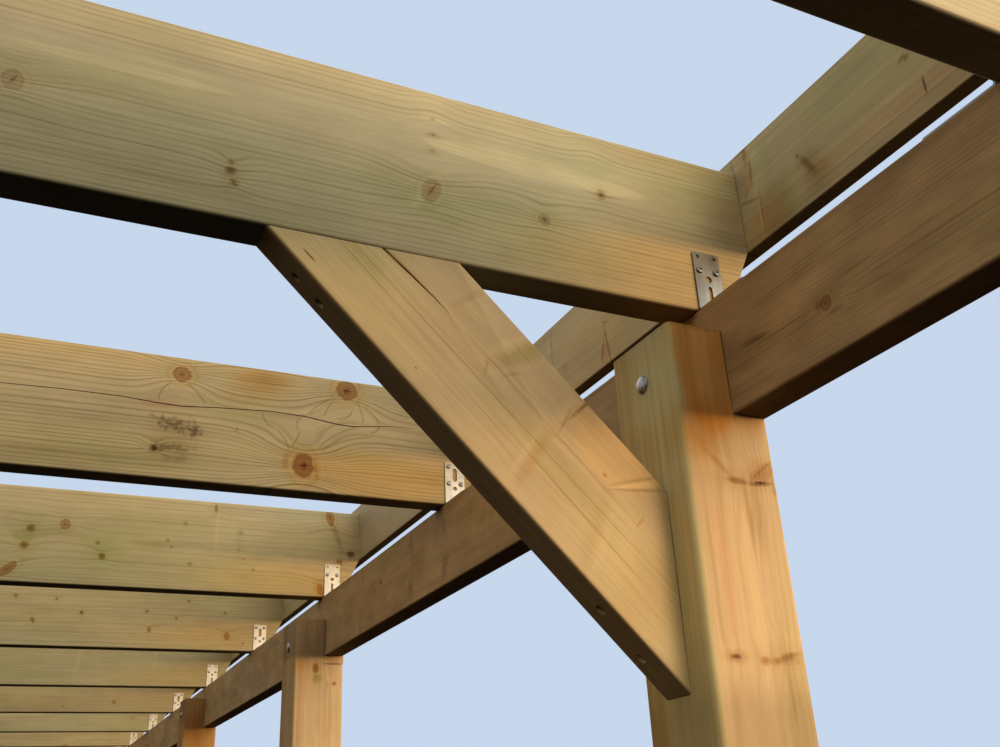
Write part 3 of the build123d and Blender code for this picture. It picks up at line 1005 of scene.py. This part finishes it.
# Directions of each kind of stick: along it, through it and across its wide face
grain_axes = {
    "rafter": ((1, 0, 0), (0, 1, 0), (0, 0, 1)),
    "post": ((0, 0, 1), (0, 1, 0), (1, 0, 0)),
    "plate": ((0, 1, 0), (1, 0, 0), (0, 0, 1)),
    "packer": ((0, 1, 0), (0, 0, 1), (1, 0, 0)),
    "fascia": ((0, 1, 0), (1, 0, 0), (0, 0, 1)),
}
# How each kind looks: what is added to its warmth, the shares of its tone and its ring contrast
# that are kept, and settings of its own
kind_looks = {
    "rafter": (0.0, 1.0, 1.0, {"green": 0.35}),
    "post": (0.50, 1.0, 0.40, {"drift": 0.6}),
    "brace": (0.50, 1.0, 0.40, {"drift": 0.6}),
    "plate": (0.50, 0.80, 0.45, {"blotch": 0.85}),
    "packer": (0.0, 1.0, 1.0, {"warmth": 1.0, "tone": 1.15}),
    "fascia": (0.0, 0.9, 0.5, {}),
}
first_seed = {"rafter": 100, "post": 200, "plate": 300, "packer": 350, "fascia": 400, "brace": 500}
# Darker along the plates' top edge
dark_top_edge = 0.003
dark_top_edge_share = 0.8


def sticks_of(kind):
    """Every stick of one kind, with what the photograph shows of it."""
    warmer, tone_kept, contrast_kept, settings = kind_looks[kind]
    for number, name in enumerate(nodes_of(kind), start=1):
        if kind == "brace":
            side = side_of(name)
            axes = ((-side, 0, 1), (0, 1, 0), (side, 0, 1))
        else:
            axes = grain_axes[kind]
        stick = Stick(name, *axes, seed=first_seed[kind] + number)
        stick.warmth += warmer
        stick.tone *= tone_kept
        stick.ring_contrast *= contrast_kept
        for setting, value in settings.items():
            setattr(stick, setting, value)
        if kind == "plate":
            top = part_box(name)[1].z - stick.middle.z
            stick.bands.append(("wide", top - dark_top_edge, top, "dirt", dark_top_edge_share))
        yield read_photograph(stick)


# Making pieces

weld_distance = 0.00001
round_segments = 24
smooth_angle = 35.0


def join_scene(piece):
    """Links a new piece to the scene and lets it ride on the frame."""
    bpy.context.scene.collection.objects.link(piece)
    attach(piece, "root")
    return piece


def mesh_piece(name, work, material, smooth_below=smooth_angle):
    """A piece of the finished bmesh work, smooth except at its sharp edges."""
    mesh = mesh_of(work, name)
    mesh.polygons.foreach_set("use_smooth", [True] * len(mesh.polygons))
    mesh.set_sharp_from_angle(angle=math.radians(smooth_below))
    piece = join_scene(bpy.data.objects.new(name, mesh))
    dress(piece, material)
    return piece


def hardware_piece(name, work, smooth_below):
    """A piece of the finished bmesh work in zinc."""
    return mesh_piece(name, work, zinc(), smooth_below)


def mesh_of(work, name):
    """Turns bmesh work into a mesh whose faces look outwards."""
    bmesh.ops.recalc_face_normals(work, faces=work.faces)
    mesh = bpy.data.meshes.new(name)
    work.to_mesh(mesh)
    work.free()
    return mesh


def polar(radius, turns):
    """A point in the plane, its angle in whole turns."""
    angle = 2 * math.pi * turns
    return radius * math.cos(angle), radius * math.sin(angle)


def ring(work, matrix, radii, height):
    """Adds points round the matrix's Z axis, one for each radius."""
    places = [polar(radius, i / len(radii)) for i, radius in enumerate(radii)]
    return [work.verts.new(matrix @ Vector((*place, height))) for place in places]


def bridge(work, rings):
    """Adds the faces from each ring of points to the next. A ring may be a single point."""
    count = max(len(points) for points in rings)
    for lower, upper in zip(rings, rings[1:]):
        for i in range(count):
            j = (i + 1) % count
            if len(lower) == 1:
                corners = (lower[0], upper[i], upper[j])
            elif len(upper) == 1:
                corners = (lower[i], lower[j], upper[0])
            else:
                corners = (lower[i], lower[j], upper[j], upper[i])
            work.faces.new(corners)


def turned(work, profile, matrix, segments=round_segments):
    """Adds a turned solid: a profile of (radius, height) from one end of its axis to the other."""
    rings = []
    for radius, height in profile:
        count = segments if radius else 1
        rings.append(ring(work, matrix, [radius] * count, height))
    bridge(work, rings)


def block(work, matrix, size):
    """Adds a box of the given size about the matrix's origin."""
    made = bmesh.ops.create_cube(work, size=1.0)["verts"]
    bmesh.ops.scale(work, vec=size, verts=made)
    bmesh.ops.transform(work, matrix=matrix, verts=made)


def facing(point, direction, turn=0.0):
    """Stands the Z axis of a turned solid at a point, along a direction."""
    way = Vector(direction).to_track_quat("Z", "Y").to_matrix().to_4x4()
    return Matrix.Translation(point) @ way @ Matrix.Rotation(math.radians(turn), 4, "Z")


def mesh_without(mesh, cutter):
    """The mesh with the closed volumes of the cutter's bmesh cut out of it."""
    body = bpy.data.objects.new("body", mesh)
    tool = bpy.data.objects.new("tool", mesh_of(cutter, "cutter"))
    for piece in (body, tool):
        bpy.context.scene.collection.objects.link(piece)
    cut = body.modifiers.new("cut", "BOOLEAN")
    cut.operation = "DIFFERENCE"
    cut.solver = "EXACT"
    cut.use_self = True
    cut.object = tool
    graph = bpy.context.evaluated_depsgraph_get()
    result = bpy.data.meshes.new_from_object(body.evaluated_get(graph))
    bpy.data.objects.remove(body)
    bpy.data.objects.remove(tool)
    return result


def node_mesh(name):
    """A closed copy of a node's mesh."""
    work = bmesh.new()
    work.from_mesh(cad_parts[name].data)
    bmesh.ops.remove_doubles(work, verts=work.verts, dist=weld_distance)
    mesh = bpy.data.meshes.new(name)
    work.to_mesh(mesh)
    work.free()
    return mesh


def cut_node(name, new_name, cutter, material):
    """A piece that stands for a node with the cutter's volumes cut out of it."""
    work = bmesh.new()
    work.from_mesh(mesh_without(node_mesh(name), cutter))
    piece = mesh_piece(new_name, work, material)
    flatten = piece.modifiers.new("flat_faces", "WEIGHTED_NORMAL")
    flatten.keep_sharp = True
    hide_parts(name)
    return piece


# Timber


def dress_nodes(*kinds):
    """Gives every node of the named kinds its own timber."""
    for kind in kinds:
        for stick in sticks_of(kind):
            dress(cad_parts[stick.name], timber(stick))


class CARPORT_OT_posts(bpy.types.Operator):
    """Gives each post its own rings and knots"""

    bl_idname = "carport.posts"
    bl_label = "Posts"

    def execute(self, context):
        dress_nodes("post")
        return {"FINISHED"}


class CARPORT_OT_plates(bpy.types.Operator):
    """Gives each plate and each packer its own timber"""

    bl_idname = "carport.plates"
    bl_label = "Plates and packers"

    def execute(self, context):
        dress_nodes("plate", "packer")
        return {"FINISHED"}


# Cracks, measured as knots are: along and across the stick, and how wide they gape. The third
# rafter's runs along its front face, and the front right brace's is at its upper end.
rafter_crack = [
    (1700, 132, 0.4), (1825, 135, 0.9), (1930, 138, 1.2), (2022, 138, 1.3), (2080, 134, 1.6),
    (2123, 133, 1.6), (2180, 138, 1.4), (2275, 144, 1.4), (2339, 142, 1.6), (2402, 134, 1.9),
    (2434, 134, 1.8), (2498, 143, 0.9), (2560, 145, 0.3),
]
rafter_crack_depth = 0.012
brace_crack = [(372, 19.0, 0.3), (396, 18.0, 1.4), (430, 15.5, 2.4), (460, 13.0, 3.0), (500, 10.0, 3.4)]
brace_crack_depth = 0.007
# The wedge that cuts a crack stands proud of the face, wider there and narrower at its bottom
blade_outside = 0.002
blade_mouth = 1.3
blade_tip = 0.1


def blade(work, stick, path, front_face, depth):
    """Adds a thin wedge along a path on the stick's front face, to cut a crack with."""
    front = stick.thin * (front_face - stick.middle.y - blade_outside)
    back = stick.thin * (front_face - stick.middle.y + depth)
    rings = []
    for along, wide, gap in path:
        x, z, *_ = own_spot(stick, along, wide, 0, 0)
        centre = stick.middle + stick.along * x + stick.wide * z
        half = stick.wide * (gap * millimetre / 2)
        corners = (
            centre + front - half * blade_mouth,
            centre + front + half * blade_mouth,
            centre + back + half * blade_tip,
            centre + back - half * blade_tip,
        )
        rings.append([work.verts.new(corner) for corner in corners])
    bridge(work, rings)
    work.faces.new(rings[0])
    work.faces.new(rings[-1])


class CARPORT_OT_rafters(bpy.types.Operator):
    """Gives each rafter its own rings, knots, stains and painted light and shade, and the third one its
    crack
    """

    bl_idname = "carport.rafters"
    bl_label = "Rafters"

    def execute(self, context):
        for stick in sticks_of("rafter"):
            material = timber(stick)
            if stick.name != "rafter_3":
                dress(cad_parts[stick.name], material)
                continue
            cutter = bmesh.new()
            blade(cutter, stick, rafter_crack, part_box(stick.name)[0].y, rafter_crack_depth)
            cut_node(stick.name, "rafter_3_cracked", cutter, material)
        return {"FINISHED"}


# Sunk screws: how deep their pocket is, how far down in it the head's face lies, how long the head
# is, and the shares of the head's radius that the pocket and the head have
fascia_sinking = (0.0016, 0.0012, 0.003, 1.0, 0.98)
brace_sinking = (0.007, 0.006, 0.004, 1.15, 1.0)
sunk_segments = 16
# The fascias' screws above the board's lower edge. Where a fascia ends on a rafter's middle, they
# are moved into the board.
fascia_screw_heights = (0.035, 0.095)
fascia_end = 0.03
fascia_end_inset = 0.012
# The screws in the braces' undersides: how far from the upper end, how far off the middle of the
# thickness, and how they lean along the brace
brace_screws = [(0.054, 0.003, 0.5), (0.090, 0.003, 0.5), (0.512, -0.002, -0.5), (0.577, 0.003, -0.5)]


def sunk_profile(radius, depth):
    """A countersunk screw head, from its pointed end up to its face and the recess in it."""
    tip, recess, recess_depth = radius * 0.45, radius * 0.3, radius * 0.35
    return [(0, -depth), (tip, -depth), (radius, 0), (recess, 0), (0, -recess_depth)]


def pocket_profile(radius, depth):
    """The hole that a sunk screw head leaves over itself."""
    point_depth, mouth = depth * 1.6, radius * 1.08
    return [(0, -point_depth), (radius, -depth), (mouth, depth), (0, depth)]


def sink_screw(cutter, heads, point, outward, sinking):
    """Adds a sunk screw's pocket to the cutter and its head to the heads."""
    radius = bpy.context.scene.carport_hardware.sunk_head_diameter / 2
    pocket_depth, face_depth, head_length, pocket_share, head_share = sinking
    pocket = pocket_profile(radius * pocket_share, pocket_depth)
    turned(cutter, pocket, facing(point, outward), sunk_segments)
    head = sunk_profile(radius * head_share, head_length)
    turned(heads, head, facing(point - outward * face_depth, outward), sunk_segments)


def fascia_screws(name):
    """Where the screws of a fascia go in: two at each rafter it meets."""
    low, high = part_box(name)
    for rafter in nodes_of("rafter"):
        y = box_middle(rafter).y
        if low.y <= y <= high.y:
            inset = fascia_end_inset * ((y - low.y < fascia_end) - (high.y - y < fascia_end))
            for height in fascia_screw_heights:
                yield Vector((side_of(name) * fascia_outer_x, y + inset, low.z + height))


class CARPORT_OT_fascias(bpy.types.Operator):
    """Gives each fascia its own timber and the pockets of its screws"""

    bl_idname = "carport.fascias"
    bl_label = "Fascias"

    def execute(self, context):
        for stick in sticks_of("fascia"):
            outward = Vector((side_of(stick.name), 0, 0))
            cutter = bmesh.new()
            heads = bmesh.new()
            for point in fascia_screws(stick.name):
                sink_screw(cutter, heads, point, outward, fascia_sinking)
            cut_node(stick.name, f"{stick.name}_drilled", cutter, timber(stick))
            hardware_piece(f"{stick.name}_screws", heads, smooth_angle)
        return {"FINISHED"}


class CARPORT_OT_braces(bpy.types.Operator):
    """Gives each knee brace its own timber, its screws and, at the front right, its crack"""

    bl_idname = "carport.braces"
    bl_label = "Knee braces"

    def execute(self, context):
        half_length = (brace_high.x - brace_low.x) / 2 * math.sqrt(2)
        heads = bmesh.new()
        for stick in sticks_of("brace"):
            cutter = bmesh.new()
            upper_end = Vector((stick.middle.x + stick.along.x * half_length, 0, plate_top))
            for distance, offset, lean in brace_screws:
                point = upper_end - stick.along * distance
                point.y = stick.middle.y + offset
                outward = -(stick.wide + stick.along * lean).normalized()
                sink_screw(cutter, heads, point, outward, brace_sinking)
            if stick.name == "brace_right_front":
                blade(cutter, stick, brace_crack, brace_low.y, brace_crack_depth)
            cut_node(stick.name, f"{stick.name}_drilled", cutter, timber(stick))
        hardware_piece("brace_screws", heads, smooth_angle)
        return {"FINISHED"}


# Hardware

# The zinc's spangle and haze in patches to the metre, and how much each lightens or roughens it
spangle_patches = 160.0
haze_patches = 35.0
spangle_share = 0.2
haze_share = 0.3
zinc_roughness = 0.40
haze_roughness = 0.35
spangle_relief = 0.00012
# Above the plate its colour is darkened towards the front as painted shade, between these places along Y
shaded_zinc = (-2.8, -3.2)
zinc_shade_share = 0.35
zinc_shade_edge = 0.002


def zinc():
    """Bright zinc with a faint spangle, darkened at the front by painted shade."""
    found = bpy.data.materials.get("zinc_coating")
    if found:
        return found
    look = bpy.context.scene.carport_hardware
    finish = Finish(bpy.data.materials.new("zinc_coating"))
    place = finish.place()
    spangle = finish.noise(finish.scale(place, spangle_patches), 2.0)
    haze = finish.noise(finish.scale(place, haze_patches), 3.0)
    # Painted shade: the zinc above the plate is darkened towards the front
    front_shade = finish.fade(finish.dot(place, (0, 1, 0)), *shaded_zinc) * zinc_shade_share
    front_shade = front_shade * finish.fade(finish.dot(place, (0, 0, 1)), plate_top - zinc_shade_edge, plate_top)
    gain = (1 + haze * haze_share + spangle * spangle_share) * (1 - front_shade)
    return finish.surface(
        Base_Color=finish.scale(look.zinc, gain),
        Metallic=1.0,
        Roughness=zinc_roughness + haze * haze_roughness,
        Normal=finish.bump(spangle * spangle_relief),
    )


# How many steps make a round hole, a slot's round end, a sheet's corner and its bend
hole_steps = 20
slot_end_steps = 10
corner_steps = 4
bend_steps = 8
# What the random turns of the brackets' screws start from
bracket_seed = 7
# A bracket's rounded corners, and how far its holes lie off its middle line
bracket_corner = 0.003
hole_inset = 0.0125
corner_hole = 0.005
# From a leg's free end to its corner holes, screws, round hole and slot, with the last two's widths.
# One leg of each bracket is punched one way and the other the other way.
slot_below_screws = {
    "corners": (0.0065,),
    "screws": (0.027,),
    "hole": (0.038, 0.009),
    "slot": (0.048, 0.070, 0.0065),
}
slot_above_screws = {
    "corners": (),
    "screws": (0.009, 0.0425),
    "hole": (0.052, 0.008),
    "slot": (0.012, 0.038, 0.0088),
}


def arc_points(x, y, radius, start, sweep, steps):
    """Points on an arc about x and y, from its start over its sweep in whole turns."""
    points = (polar(radius, start + sweep * i / steps) for i in range(steps + 1))
    return [(x + across, y + along) for across, along in points]


def circle(x, y, diameter):
    """The points of a round hole."""
    return arc_points(x, y, diameter / 2, 0.0, 1.0, hole_steps)[:-1]


def slot_outline(start, end, width):
    """The points of a slot along the bracket's leg."""
    half = width / 2
    far_end = arc_points(0.0, end - half, half, 0.0, 0.5, slot_end_steps)
    return far_end + arc_points(0.0, start + half, half, 0.5, 0.5, slot_end_steps)


def legs(whole):
    """How each leg of a blank is punched, where its free end is and which way it runs."""
    return ((slot_below_screws, 0.0, 1), (slot_above_screws, whole, -1))


def leg_holes(punching, start, way):
    """The outlines punched in one leg, whose free end is at start and which runs that way."""
    outlines = [
        circle(side * hole_inset, start + way * corner, corner_hole)
        for corner in punching["corners"]
        for side in (-1, 1)
    ]
    middle, diameter = punching["hole"]
    outlines.append(circle(0, start + way * middle, diameter))
    *ends, width = punching["slot"]
    outlines.append(slot_outline(*sorted(start + way * end for end in ends), width))
    return outlines


def bracket_blank(look):
    """The flat punched sheet of one bracket: across it, along it and through its thickness."""
    arc = (look.bracket_bend - look.bracket_thickness / 2) * math.pi / 2
    straight = look.bracket_leg - look.bracket_bend
    whole = 2 * straight + arc
    across = look.bracket_width / 2 - bracket_corner
    outline = []
    for x, y, start in (
        (across, bracket_corner, -0.25),
        (across, whole - bracket_corner, 0.0),
        (-across, whole - bracket_corner, 0.25),
        (-across, bracket_corner, 0.5),
    ):
        outline += arc_points(x, y, bracket_corner, start, 0.25, corner_steps)
    curve = bpy.data.curves.new("bracket_blank", "CURVE")
    curve.dimensions = "2D"
    curve.fill_mode = "BOTH"
    curve.extrude = look.bracket_thickness / 2
    holes = [hole for leg in legs(whole) for hole in leg_holes(*leg)]
    for points in [outline, *holes]:
        spline = curve.splines.new("POLY")
        spline.points.add(len(points) - 1)
        for point, (x, y) in zip(spline.points, points):
            point.co = (x, y, 0, 1)
        spline.use_cyclic_u = True
    flat = bpy.data.objects.new("bracket_blank", curve)
    work = bmesh.new()
    work.from_mesh(bpy.data.meshes.new_from_object(flat))
    bpy.data.objects.remove(flat)
    bmesh.ops.remove_doubles(work, verts=work.verts, dist=weld_distance)
    for i in range(bend_steps + 1):
        geometry = work.verts[:] + work.edges[:] + work.faces[:]
        height = straight + arc * i / bend_steps
        bmesh.ops.bisect_plane(work, geom=geometry, plane_co=(0, height, 0), plane_no=(0, 1, 0))
    return work, straight, arc, whole


def folded(along, through, straight, arc, bend):
    """A blank's point as seen from its end: away from the rafter's side, and up from the plate."""
    if along <= straight:
        return through, bend + straight - along
    if along >= straight + arc:
        return bend + along - straight - arc, through
    x, y = polar(bend - through, (along - straight) / arc / 4)
    return bend - x, bend - y


# A pan-head screw in radii: its outline, and its cross recess's middle and size
pan_head = [(0, -0.2), (0.96, -0.2), (1, 0.15), (0.93, 0.38), (0.72, 0.56), (0.40, 0.66), (0, 0.70)]
recess_middle = 0.6
recess_size = (1.05, 0.24, 0.7)


def screw_mesh(diameter):
    """A pan-head screw's head with a cross recess, standing on its seat."""
    radius = diameter / 2
    head = bmesh.new()
    turned(head, [(radius * out, radius * up) for out, up in pan_head], Matrix.Identity(4))
    cross = bmesh.new()
    for turn in (0, 90):
        matrix = facing((0, 0, radius * recess_middle), (0, 0, 1), turn)
        block(cross, matrix, [radius * share for share in recess_size])
    return mesh_without(mesh_of(head, "screw"), cross)


def add_mesh(work, mesh, matrix):
    """Adds a copy of a mesh to a bmesh."""
    before = len(work.verts)
    work.from_mesh(mesh)
    work.verts.ensure_lookup_table()
    bmesh.ops.transform(work, matrix=matrix, verts=work.verts[before:])


class CARPORT_OT_brackets(bpy.types.Operator):
    """Builds each row's punched and bent angle brackets with their screws"""

    bl_idname = "carport.brackets"
    bl_label = "Angle brackets"

    def execute(self, context):
        look = context.scene.carport_hardware
        thickness = look.bracket_thickness
        blank, straight, arc, whole = bracket_blank(look)
        flat = [vertex.co.copy() for vertex in blank.verts]
        faces = [[vertex.index for vertex in face.verts] for face in blank.faces]
        blank.free()
        screw = screw_mesh(look.screw_head_diameter)
        draw = random.Random(bracket_seed)
        for row, side in rows.items():
            sheets = bmesh.new()
            screws = bmesh.new()
            middle_x = side * (plate_inner_x + plate_outer_x) / 2
            for number, rafter in enumerate(nodes_of("rafter")):
                low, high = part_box(rafter)
                # The front rafter's bracket is behind it, because the plate ends at its front.
                away = 1 if number == 0 else -1
                corner_y = high.y if away > 0 else low.y
                flipped = number % 2 == 0

                def bend_point(across, along, through):
                    along = whole - along if flipped else along
                    out, up = folded(along, through, straight, arc, look.bracket_bend)
                    return Vector((middle_x + across, corner_y + away * out, plate_top + up))

                made = [
                    sheets.verts.new(bend_point(co.x, co.y, co.z + thickness / 2)) for co in flat
                ]
                for face in faces:
                    sheets.faces.new([made[i] for i in face])
                for punching, start, way in legs(whole):
                    for end in punching["screws"]:
                        for across in (-hole_inset, hole_inset):
                            seat = bend_point(across, start + way * end, thickness)
                            above = bend_point(across, start + way * end, thickness * 2)
                            turn = draw.uniform(0, 90)
                            add_mesh(screws, screw, facing(seat, above - seat, turn))
            piece = hardware_piece(f"brackets_{row}_punched", sheets, smooth_below=30.0)
            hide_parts(f"brackets_{row}")
            hardware_piece(f"bracket_screws_{row}", screws, smooth_below=40.0)
        return {"FINISHED"}


def bolt_places(row):
    """How far back and how high each coach bolt of a row goes through its post's tongue."""
    look = bpy.context.scene.carport_hardware
    spliced = {name.replace("packer", "post") for name in nodes_of("packer")}
    for name in nodes_of("post"):
        if side_of(name) == rows[row]:
            depth = look.splice_bolt_depth if name in spliced else look.bolt_depth
            yield box_middle(name).y, plate_top - depth


# How many segments make round parts
bolt_segments = 32
nut_segments = 24
thread_segments = 20
# A coach bolt's dome: how deep its foot is sunk, the share of its rise that its straight edge takes,
# and the steps of its curve
dome_foot = 0.001
dome_edge = 0.12
dome_steps = 7
# A washer's foot in the timber, and the eased edge of its face
washer_foot = 0.0005
washer_edge = (0.97, 0.8)
# A thread: from ridge to ridge, and the shares of its radius between them and at its end
thread_pitch = 0.0015
thread_valley = 0.86
thread_end = 0.80
# The share of a nut's height that each chamfer takes
nut_chamfer = 0.1
# Each nut is turned further than the last, in degrees
nut_turn = 17


def dome_profile(radius, rise):
    """A coach bolt's head."""
    profile = [(0, -dome_foot), (radius, -dome_foot), (radius, rise * dome_edge)]
    for i in range(1, dome_steps + 1):
        out, up = polar(1.0, i / dome_steps / 4)
        reach = radius * out if i < dome_steps else 0
        profile.append((reach, rise * (dome_edge + (1 - dome_edge) * up)))
    return profile


def washer_profile(radius, thickness):
    """A washer without its hole, which the bolt fills."""
    edge_out, edge_up = washer_edge
    return [
        (0, -washer_foot),
        (radius, -washer_foot),
        (radius, thickness * edge_up),
        (radius * edge_out, thickness),
        (0, thickness),
    ]


def thread_profile(radius, length):
    """A bolt's threaded end, as a stack of ridges."""
    profile = [(0, 0.0)]
    ridges = int(length / thread_pitch)
    for i in range(ridges):
        profile.append((radius * thread_valley, i * thread_pitch))
        profile.append((radius, (i + 0.5) * thread_pitch))
    top = ridges * thread_pitch
    return [*profile, (radius * thread_end, top), (0, top)]


def add_nut(work, matrix, width, height, bore):
    """Adds a hexagon nut with chamfered corners, its seat at the matrix's origin."""
    flat = width / 2
    sixth = math.pi / 3
    hexagon = []
    for i in range(nut_segments):
        to_flat = (2 * math.pi * i / nut_segments + sixth / 2) % sixth - sixth / 2
        hexagon.append(flat / math.cos(to_flat))
    corner = flat / math.cos(sixth / 2)
    chamfer = height * nut_chamfer
    levels = ((0.0, flat), (chamfer, corner), (height - chamfer, corner), (height, flat))
    rings = [
        ring(work, matrix, [min(radius, reach) for radius in hexagon], level)
        for level, reach in levels
    ]
    rings += [ring(work, matrix, [bore / 2] * nut_segments, level) for level in (height, 0.0)]
    bridge(work, [*rings, rings[0]])


class CARPORT_OT_bolts(bpy.types.Operator):
    """Builds the coach bolts: domed heads inside, washers, nuts and thread ends outside"""

    bl_idname = "carport.bolts"
    bl_label = "Coach bolts"

    def execute(self, context):
        look = context.scene.carport_hardware
        dome = dome_profile(look.bolt_head_diameter / 2, look.bolt_head_height)
        washer = washer_profile(look.washer_diameter / 2, look.washer_thickness)
        thread = thread_profile(look.bolt_diameter / 2, look.nut_height + look.thread_past_nut)
        nut = (look.nut_width, look.nut_height, look.bolt_diameter)
        for row, side in rows.items():
            heads = bmesh.new()
            nuts = bmesh.new()
            outward = Vector((side, 0, 0))
            for number, (y, height) in enumerate(bolt_places(row)):
                inside = Vector((side * post_inner_x, y, height))
                turned(heads, dome, facing(inside, -outward), bolt_segments)
                outside = Vector((side * plate_outer_x, y, height))
                turned(nuts, washer, facing(outside, outward), bolt_segments)
                seat = outside + outward * look.washer_thickness
                add_nut(nuts, facing(seat, outward, nut_turn * number), *nut)
                turned(nuts, thread, facing(seat, outward), thread_segments)
            hardware_piece(f"coach_bolt_heads_{row}", heads, smooth_below=50.0)
            hardware_piece(f"coach_bolt_nuts_{row}", nuts, smooth_below=30.0)
        return {"FINISHED"}


# Stage

camera_place = (1.9152, -4.1178, 1.6881)
camera_heading = 26.266
camera_pitch = 24.631
camera_roll = 2.876
camera_lens = 36.07
sensor_width = 36.0
nearest_seen = 0.01
stage_size = 1200.0
stage_segments = 128
shaded_floor = (0.013, 0.011, 0.011)
floor_patches = 3.0
floor_speckle = 0.03
floor_roughness = 0.9
sun_spread = math.radians(60)
# Azimuths are in degrees right of the front and elevations in degrees up
lamps = {
    "low_lamp": {
        "kind": "AREA", "azimuth": 34, "elevation": 3.2, "distance": 20, "target": (2.0, -3.0, 2.2),
        "shape": "RECTANGLE", "size": 16, "size_y": 2.0, "color": (1.0, 0.66, 0.32),
    },
    "front_lamp": {
        "kind": "SUN", "azimuth": 35, "elevation": 28, "distance": 12, "target": (0, 0, 0),
        "angle": sun_spread, "color": (1.0, 0.98, 0.93),
    },
    "rear_lamp": {
        "kind": "SUN", "azimuth": 170, "elevation": 25, "distance": 12, "target": (0, 0, 0),
        "angle": sun_spread, "color": (1.0, 0.98, 0.95),
    },
}


def sees(finish, *rays):
    """1 for rays of the named kinds, which show the stage as a picture, and 0 for the rest."""
    path = finish.add("ShaderNodeLightPath").outputs
    seen = [Value(finish, path[f"Is {name} Ray"]) for name in rays]
    return functools.reduce(lambda first, second: finish.math("MAXIMUM", first, second), seen)


def floor_finish(look):
    """A plain pale floor that keeps the frame's shadow and throws little light up."""
    finish = Finish(bpy.data.materials.new("floor"))
    speckle = finish.noise(finish.scale(finish.place(), floor_patches), 3.0)
    shown = finish.scale(look.floor, 1 + speckle * floor_speckle)
    colour = finish.mix(sees(finish, "Camera", "Transmission"), shaded_floor, shown)
    return finish.surface(Base_Color=colour, Roughness=floor_roughness, Specular_IOR_Level=0.0)


def light_world(look):
    """A plain pale background that lights the frame evenly from above."""
    world = bpy.data.worlds.new("studio")
    bpy.context.scene.world = world
    finish = Finish(world)
    seen = sees(finish, "Camera", "Glossy", "Transmission")
    colour = finish.mix(seen, look.sky, look.background)
    background = finish.add("ShaderNodeBackground", inputs={"Color": colour, "Strength": 1.0})
    finish.add("ShaderNodeOutputWorld", inputs={"Surface": background.outputs[0]})


def stand_lamp(name, energy, kind, azimuth, elevation, distance, target, **settings):
    """A lamp that looks at a point."""
    lamp = bpy.data.lights.new(name, kind)
    lamp.energy = energy
    for setting, value in settings.items():
        setattr(lamp, setting, value)
    piece = bpy.data.objects.new(name, lamp)
    turn, rise = math.radians(azimuth), math.radians(elevation)
    back = Vector((math.sin(turn) * math.cos(rise), -math.cos(turn) * math.cos(rise), math.sin(rise)))
    piece.rotation_mode = "QUATERNION"
    piece.rotation_quaternion = back.to_track_quat("Z", "Y")
    piece.location = Vector(target) + back * distance
    bpy.context.scene.collection.objects.link(piece)


def stand_camera():
    """The camera, where the photograph was taken from."""
    camera = bpy.data.objects.new("camera", bpy.data.cameras.new("camera"))
    camera.data.lens = camera_lens
    camera.data.sensor_width = sensor_width
    camera.data.clip_start = nearest_seen
    camera.data.clip_end = stage_size
    heading = Matrix.Rotation(-math.radians(camera_heading), 4, "Z")
    pitch = Matrix.Rotation(math.radians(90 + camera_pitch), 4, "X")
    roll = Matrix.Rotation(-math.radians(camera_roll), 4, "Z")
    camera.matrix_world = Matrix.Translation(camera_place) @ heading @ pitch @ roll
    bpy.context.scene.collection.objects.link(camera)
    bpy.context.scene.camera = camera


class CARPORT_OT_stage(bpy.types.Operator):
    """Builds the floor, the background, the lamps and the camera"""

    bl_idname = "carport.stage"
    bl_label = "Stage"

    def execute(self, context):
        look = context.scene.carport_stage
        work = bmesh.new()
        radius = stage_size / 2
        bmesh.ops.create_circle(work, cap_ends=True, segments=stage_segments, radius=radius)
        mesh = bpy.data.meshes.new("floor")
        work.to_mesh(mesh)
        work.free()
        floor = bpy.data.objects.new("floor", mesh)
        context.scene.collection.objects.link(floor)
        dress(floor, floor_finish(look))
        light_world(look)
        for name, settings in lamps.items():
            stand_lamp(name, getattr(look, name), **settings)
        stand_camera()
        context.scene.view_settings.view_transform = "Standard"
        return {"FINISHED"}


class CARPORT_PT_parts(bpy.types.Panel):
    """Lists what the carport is dressed with"""

    bl_label = "Carport frame"
    bl_idname = "CARPORT_PT_parts"
    bl_space_type = "VIEW_3D"
    bl_region_type = "UI"
    bl_category = "Carport"

    def draw(self, context):
        for operator in operators:
            self.layout.operator(operator.bl_idname)


operators = (
    CARPORT_OT_stage,
    CARPORT_OT_posts,
    CARPORT_OT_plates,
    CARPORT_OT_rafters,
    CARPORT_OT_fascias,
    CARPORT_OT_braces,
    CARPORT_OT_brackets,
    CARPORT_OT_bolts,
)
settings_groups = {
    "carport_timber": CarportTimber,
    "carport_hardware": CarportHardware,
    "carport_stage": CarportStage,
}


def register():
    for name, group in settings_groups.items():
        bpy.utils.register_class(group)
        setattr(bpy.types.Scene, name, PointerProperty(type=group))
    for operator in operators:
        bpy.utils.register_class(operator)
    bpy.utils.register_class(CARPORT_PT_parts)


def unregister():
    bpy.utils.unregister_class(CARPORT_PT_parts)
    for operator in reversed(operators):
        bpy.utils.unregister_class(operator)
    for name, group in settings_groups.items():
        delattr(bpy.types.Scene, name)
        bpy.utils.unregister_class(group)


def main():
    register()
    for operator in operators:
        family, action = operator.bl_idname.split(".")
        getattr(getattr(bpy.ops, family), action)()


if __name__ == "__main__":
    main()
